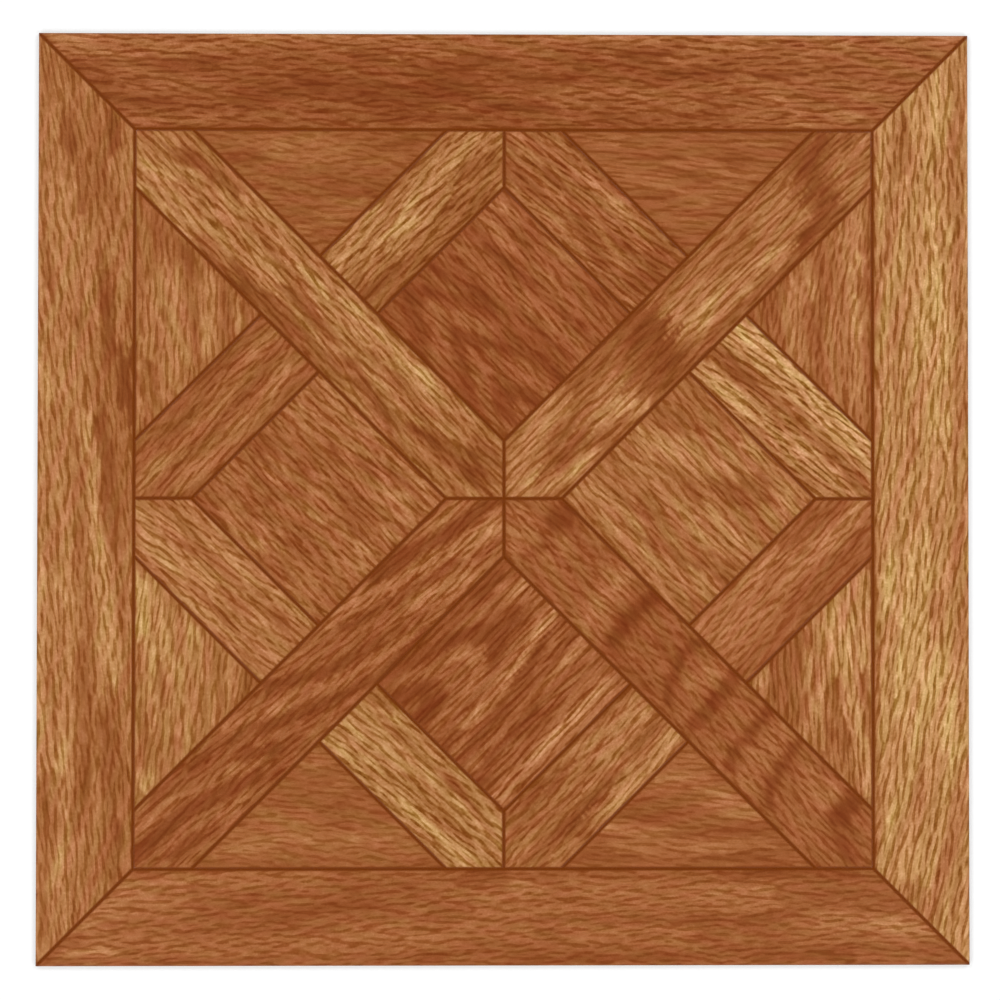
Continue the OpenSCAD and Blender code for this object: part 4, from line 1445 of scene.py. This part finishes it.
@dataclass(frozen=True)
class Studio:
    """A white table under four soft lamps, in a room that is pale below and dark overhead."""

    # Side of the table, and how far it lies below the tile, in metres as all of the studio
    floor_size: float = 8.0
    floor_drop: float = 0.00005
    # The table's paint, and the light that it shows the camera and a shiny or clear surface on
    # top of what it gives back, so that it looks white
    paint: str = "#cbcbcb"
    added_white: float = 0.45
    # Distance of the lamps, their height above the table in degrees, their side and their watts
    lamp_distance: float = 2.0
    lamp_height: float = 33.0
    lamp_size: float = 0.9
    lamp_power: float = 16.2
    # Brightness of the room level with the table and straight overhead
    horizon: float = 0.9
    zenith: float = 0.03
    # Share of straight up from which the room is as dark as overhead
    dark_from: float = 0.8

    def build(self) -> None:
        """Makes the table, the lamps and the room's light."""
        self.table()
        for quarter in range(4):
            self.lamp(quarter)
        self.room()

    def table(self) -> None:
        """Makes the white table top, which keeps the tile's shadow."""
        half = self.floor_size / 2
        corners = [(-half, -half), (half, -half), (half, half), (-half, half)]
        mesh = bpy.data.meshes.new("studio_table")
        mesh.from_pydata([(x, y, -self.floor_drop) for x, y in corners], [], [(0, 1, 2, 3)])
        table = bpy.data.objects.new("studio_table", mesh)
        bpy.context.scene.collection.objects.link(table)
        material, tree = new_material("studio_white_paint")
        paint = add_node(tree, "ShaderNodeBsdfDiffuse", {}, {"Color": linear(self.paint)})
        rays = add_node(tree, "ShaderNodeLightPath", {}, {})
        seen = add_node(tree, "ShaderNodeMath", {"operation": "MAXIMUM"}, {
            0: rays.outputs["Is Camera Ray"], 1: rays.outputs["Is Glossy Ray"],
        })
        seen = add_node(tree, "ShaderNodeMath", {"operation": "MAXIMUM"}, {
            0: seen.outputs[0], 1: rays.outputs["Is Transmission Ray"],
        })
        glow = add_node(tree, "ShaderNodeMath", {"operation": "MULTIPLY"}, {
            0: seen.outputs[0], 1: self.added_white,
        })
        white = add_node(tree, "ShaderNodeEmission", {}, {"Strength": glow.outputs[0]})
        both = add_node(tree, "ShaderNodeAddShader", {}, {0: paint.outputs[0], 1: white.outputs[0]})
        add_node(tree, "ShaderNodeOutputMaterial", {}, {0: both.outputs[0]})
        mesh.materials.append(material)

    def lamp(self, quarter: int) -> None:
        """Hangs one soft square lamp, aimed at the tile.

        Args:
            quarter: Which of the four corners the lamp stands at.
        """
        around = math.radians(45 + 90 * quarter)
        up = math.radians(self.lamp_height)
        out, above = self.lamp_distance * math.cos(up), self.lamp_distance * math.sin(up)
        place = Vector((out * math.cos(around), out * math.sin(around), above))
        data = bpy.data.lights.new(f"soft_lamp_{quarter}", "AREA")
        data.shape = "SQUARE"
        data.size = self.lamp_size
        data.energy = self.lamp_power
        lamp = bpy.data.objects.new(f"soft_lamp_{quarter}", data)
        lamp.location = place
        lamp.rotation_euler = (-place).to_track_quat("-Z", "Y").to_euler()
        bpy.context.scene.collection.objects.link(lamp)

    def room(self) -> None:
        """Lights the room: pale level with the table, dark overhead."""
        world = bpy.data.worlds.new("studio_room")
        bpy.context.scene.world = world
        world.use_nodes = True
        tree = world.node_tree
        tree.nodes.clear()
        way = add_node(tree, "ShaderNodeTexCoord", {}, {})
        parts = add_node(tree, "ShaderNodeSeparateXYZ", {}, {0: way.outputs["Generated"]})
        glow = add_node(tree, "ShaderNodeMapRange", {"interpolation_type": "SMOOTHSTEP"}, {
            "Value": parts.outputs["Z"], "From Min": 0.0, "From Max": self.dark_from,
            "To Min": self.horizon, "To Max": self.zenith,
        })
        sky = add_node(tree, "ShaderNodeBackground", {}, {"Strength": glow.outputs[0]})
        add_node(tree, "ShaderNodeOutputWorld", {}, {0: sky.outputs[0]})


@dataclass(frozen=True)
class OverheadCamera:
    """A camera that looks straight down on the tile, a little off its middle."""

    lens: float = 85.0
    sensor: float = 36.0
    # Place in millimetres, and turn about each axis in degrees
    place: tuple[float, float, float] = (-10.73, -12.89, 773.66)
    tilt: tuple[float, float, float] = (0.919, -0.700, 0.034)

    def build(self) -> None:
        """Makes the camera and looks through it."""
        data = bpy.data.cameras.new("overhead_camera")
        data.lens = self.lens
        data.sensor_width = self.sensor
        camera = bpy.data.objects.new("overhead_camera", data)
        camera.location = Vector(self.place) * MM
        camera.rotation_euler = Euler([math.radians(a) for a in self.tilt])
        bpy.context.scene.collection.objects.link(camera)
        bpy.context.scene.camera = camera


def main() -> None:
    """Builds the dressed tile, the studio and the camera."""
    logging.basicConfig(level=logging.INFO, format="%(message)s")
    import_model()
    scene = bpy.context.scene
    scene.view_settings.view_transform = "Standard"

    OverheadCamera().build()
    Studio().build()
    LOG.info("camera and studio ready")

    finishes = [
        PrintedFilm().build(),
        PlainVinyl(
            name="filled_vinyl_die_cut", colour="#6a5748", filler="#9c8c7a",
            grain=0.35, roughness=(0.6, 0.75), relief=0.03,
        ).build(),
        PlainVinyl(
            name="filled_vinyl_calendered_back", colour="#7d6e60", filler="#9a8c7d",
            grain=0.6, roughness=(0.5, 0.62), relief=0.02,
        ).build(),
    ]
    low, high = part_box(TILE_NODE)
    tile = VinylTile(Vector(low), Vector(high)).build(finishes)
    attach(tile, "root")
    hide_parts(TILE_NODE)
    LOG.info("%s: %d faces, rides on root", tile.name, len(tile.data.polygons))


if __name__ == "__main__":
    main()
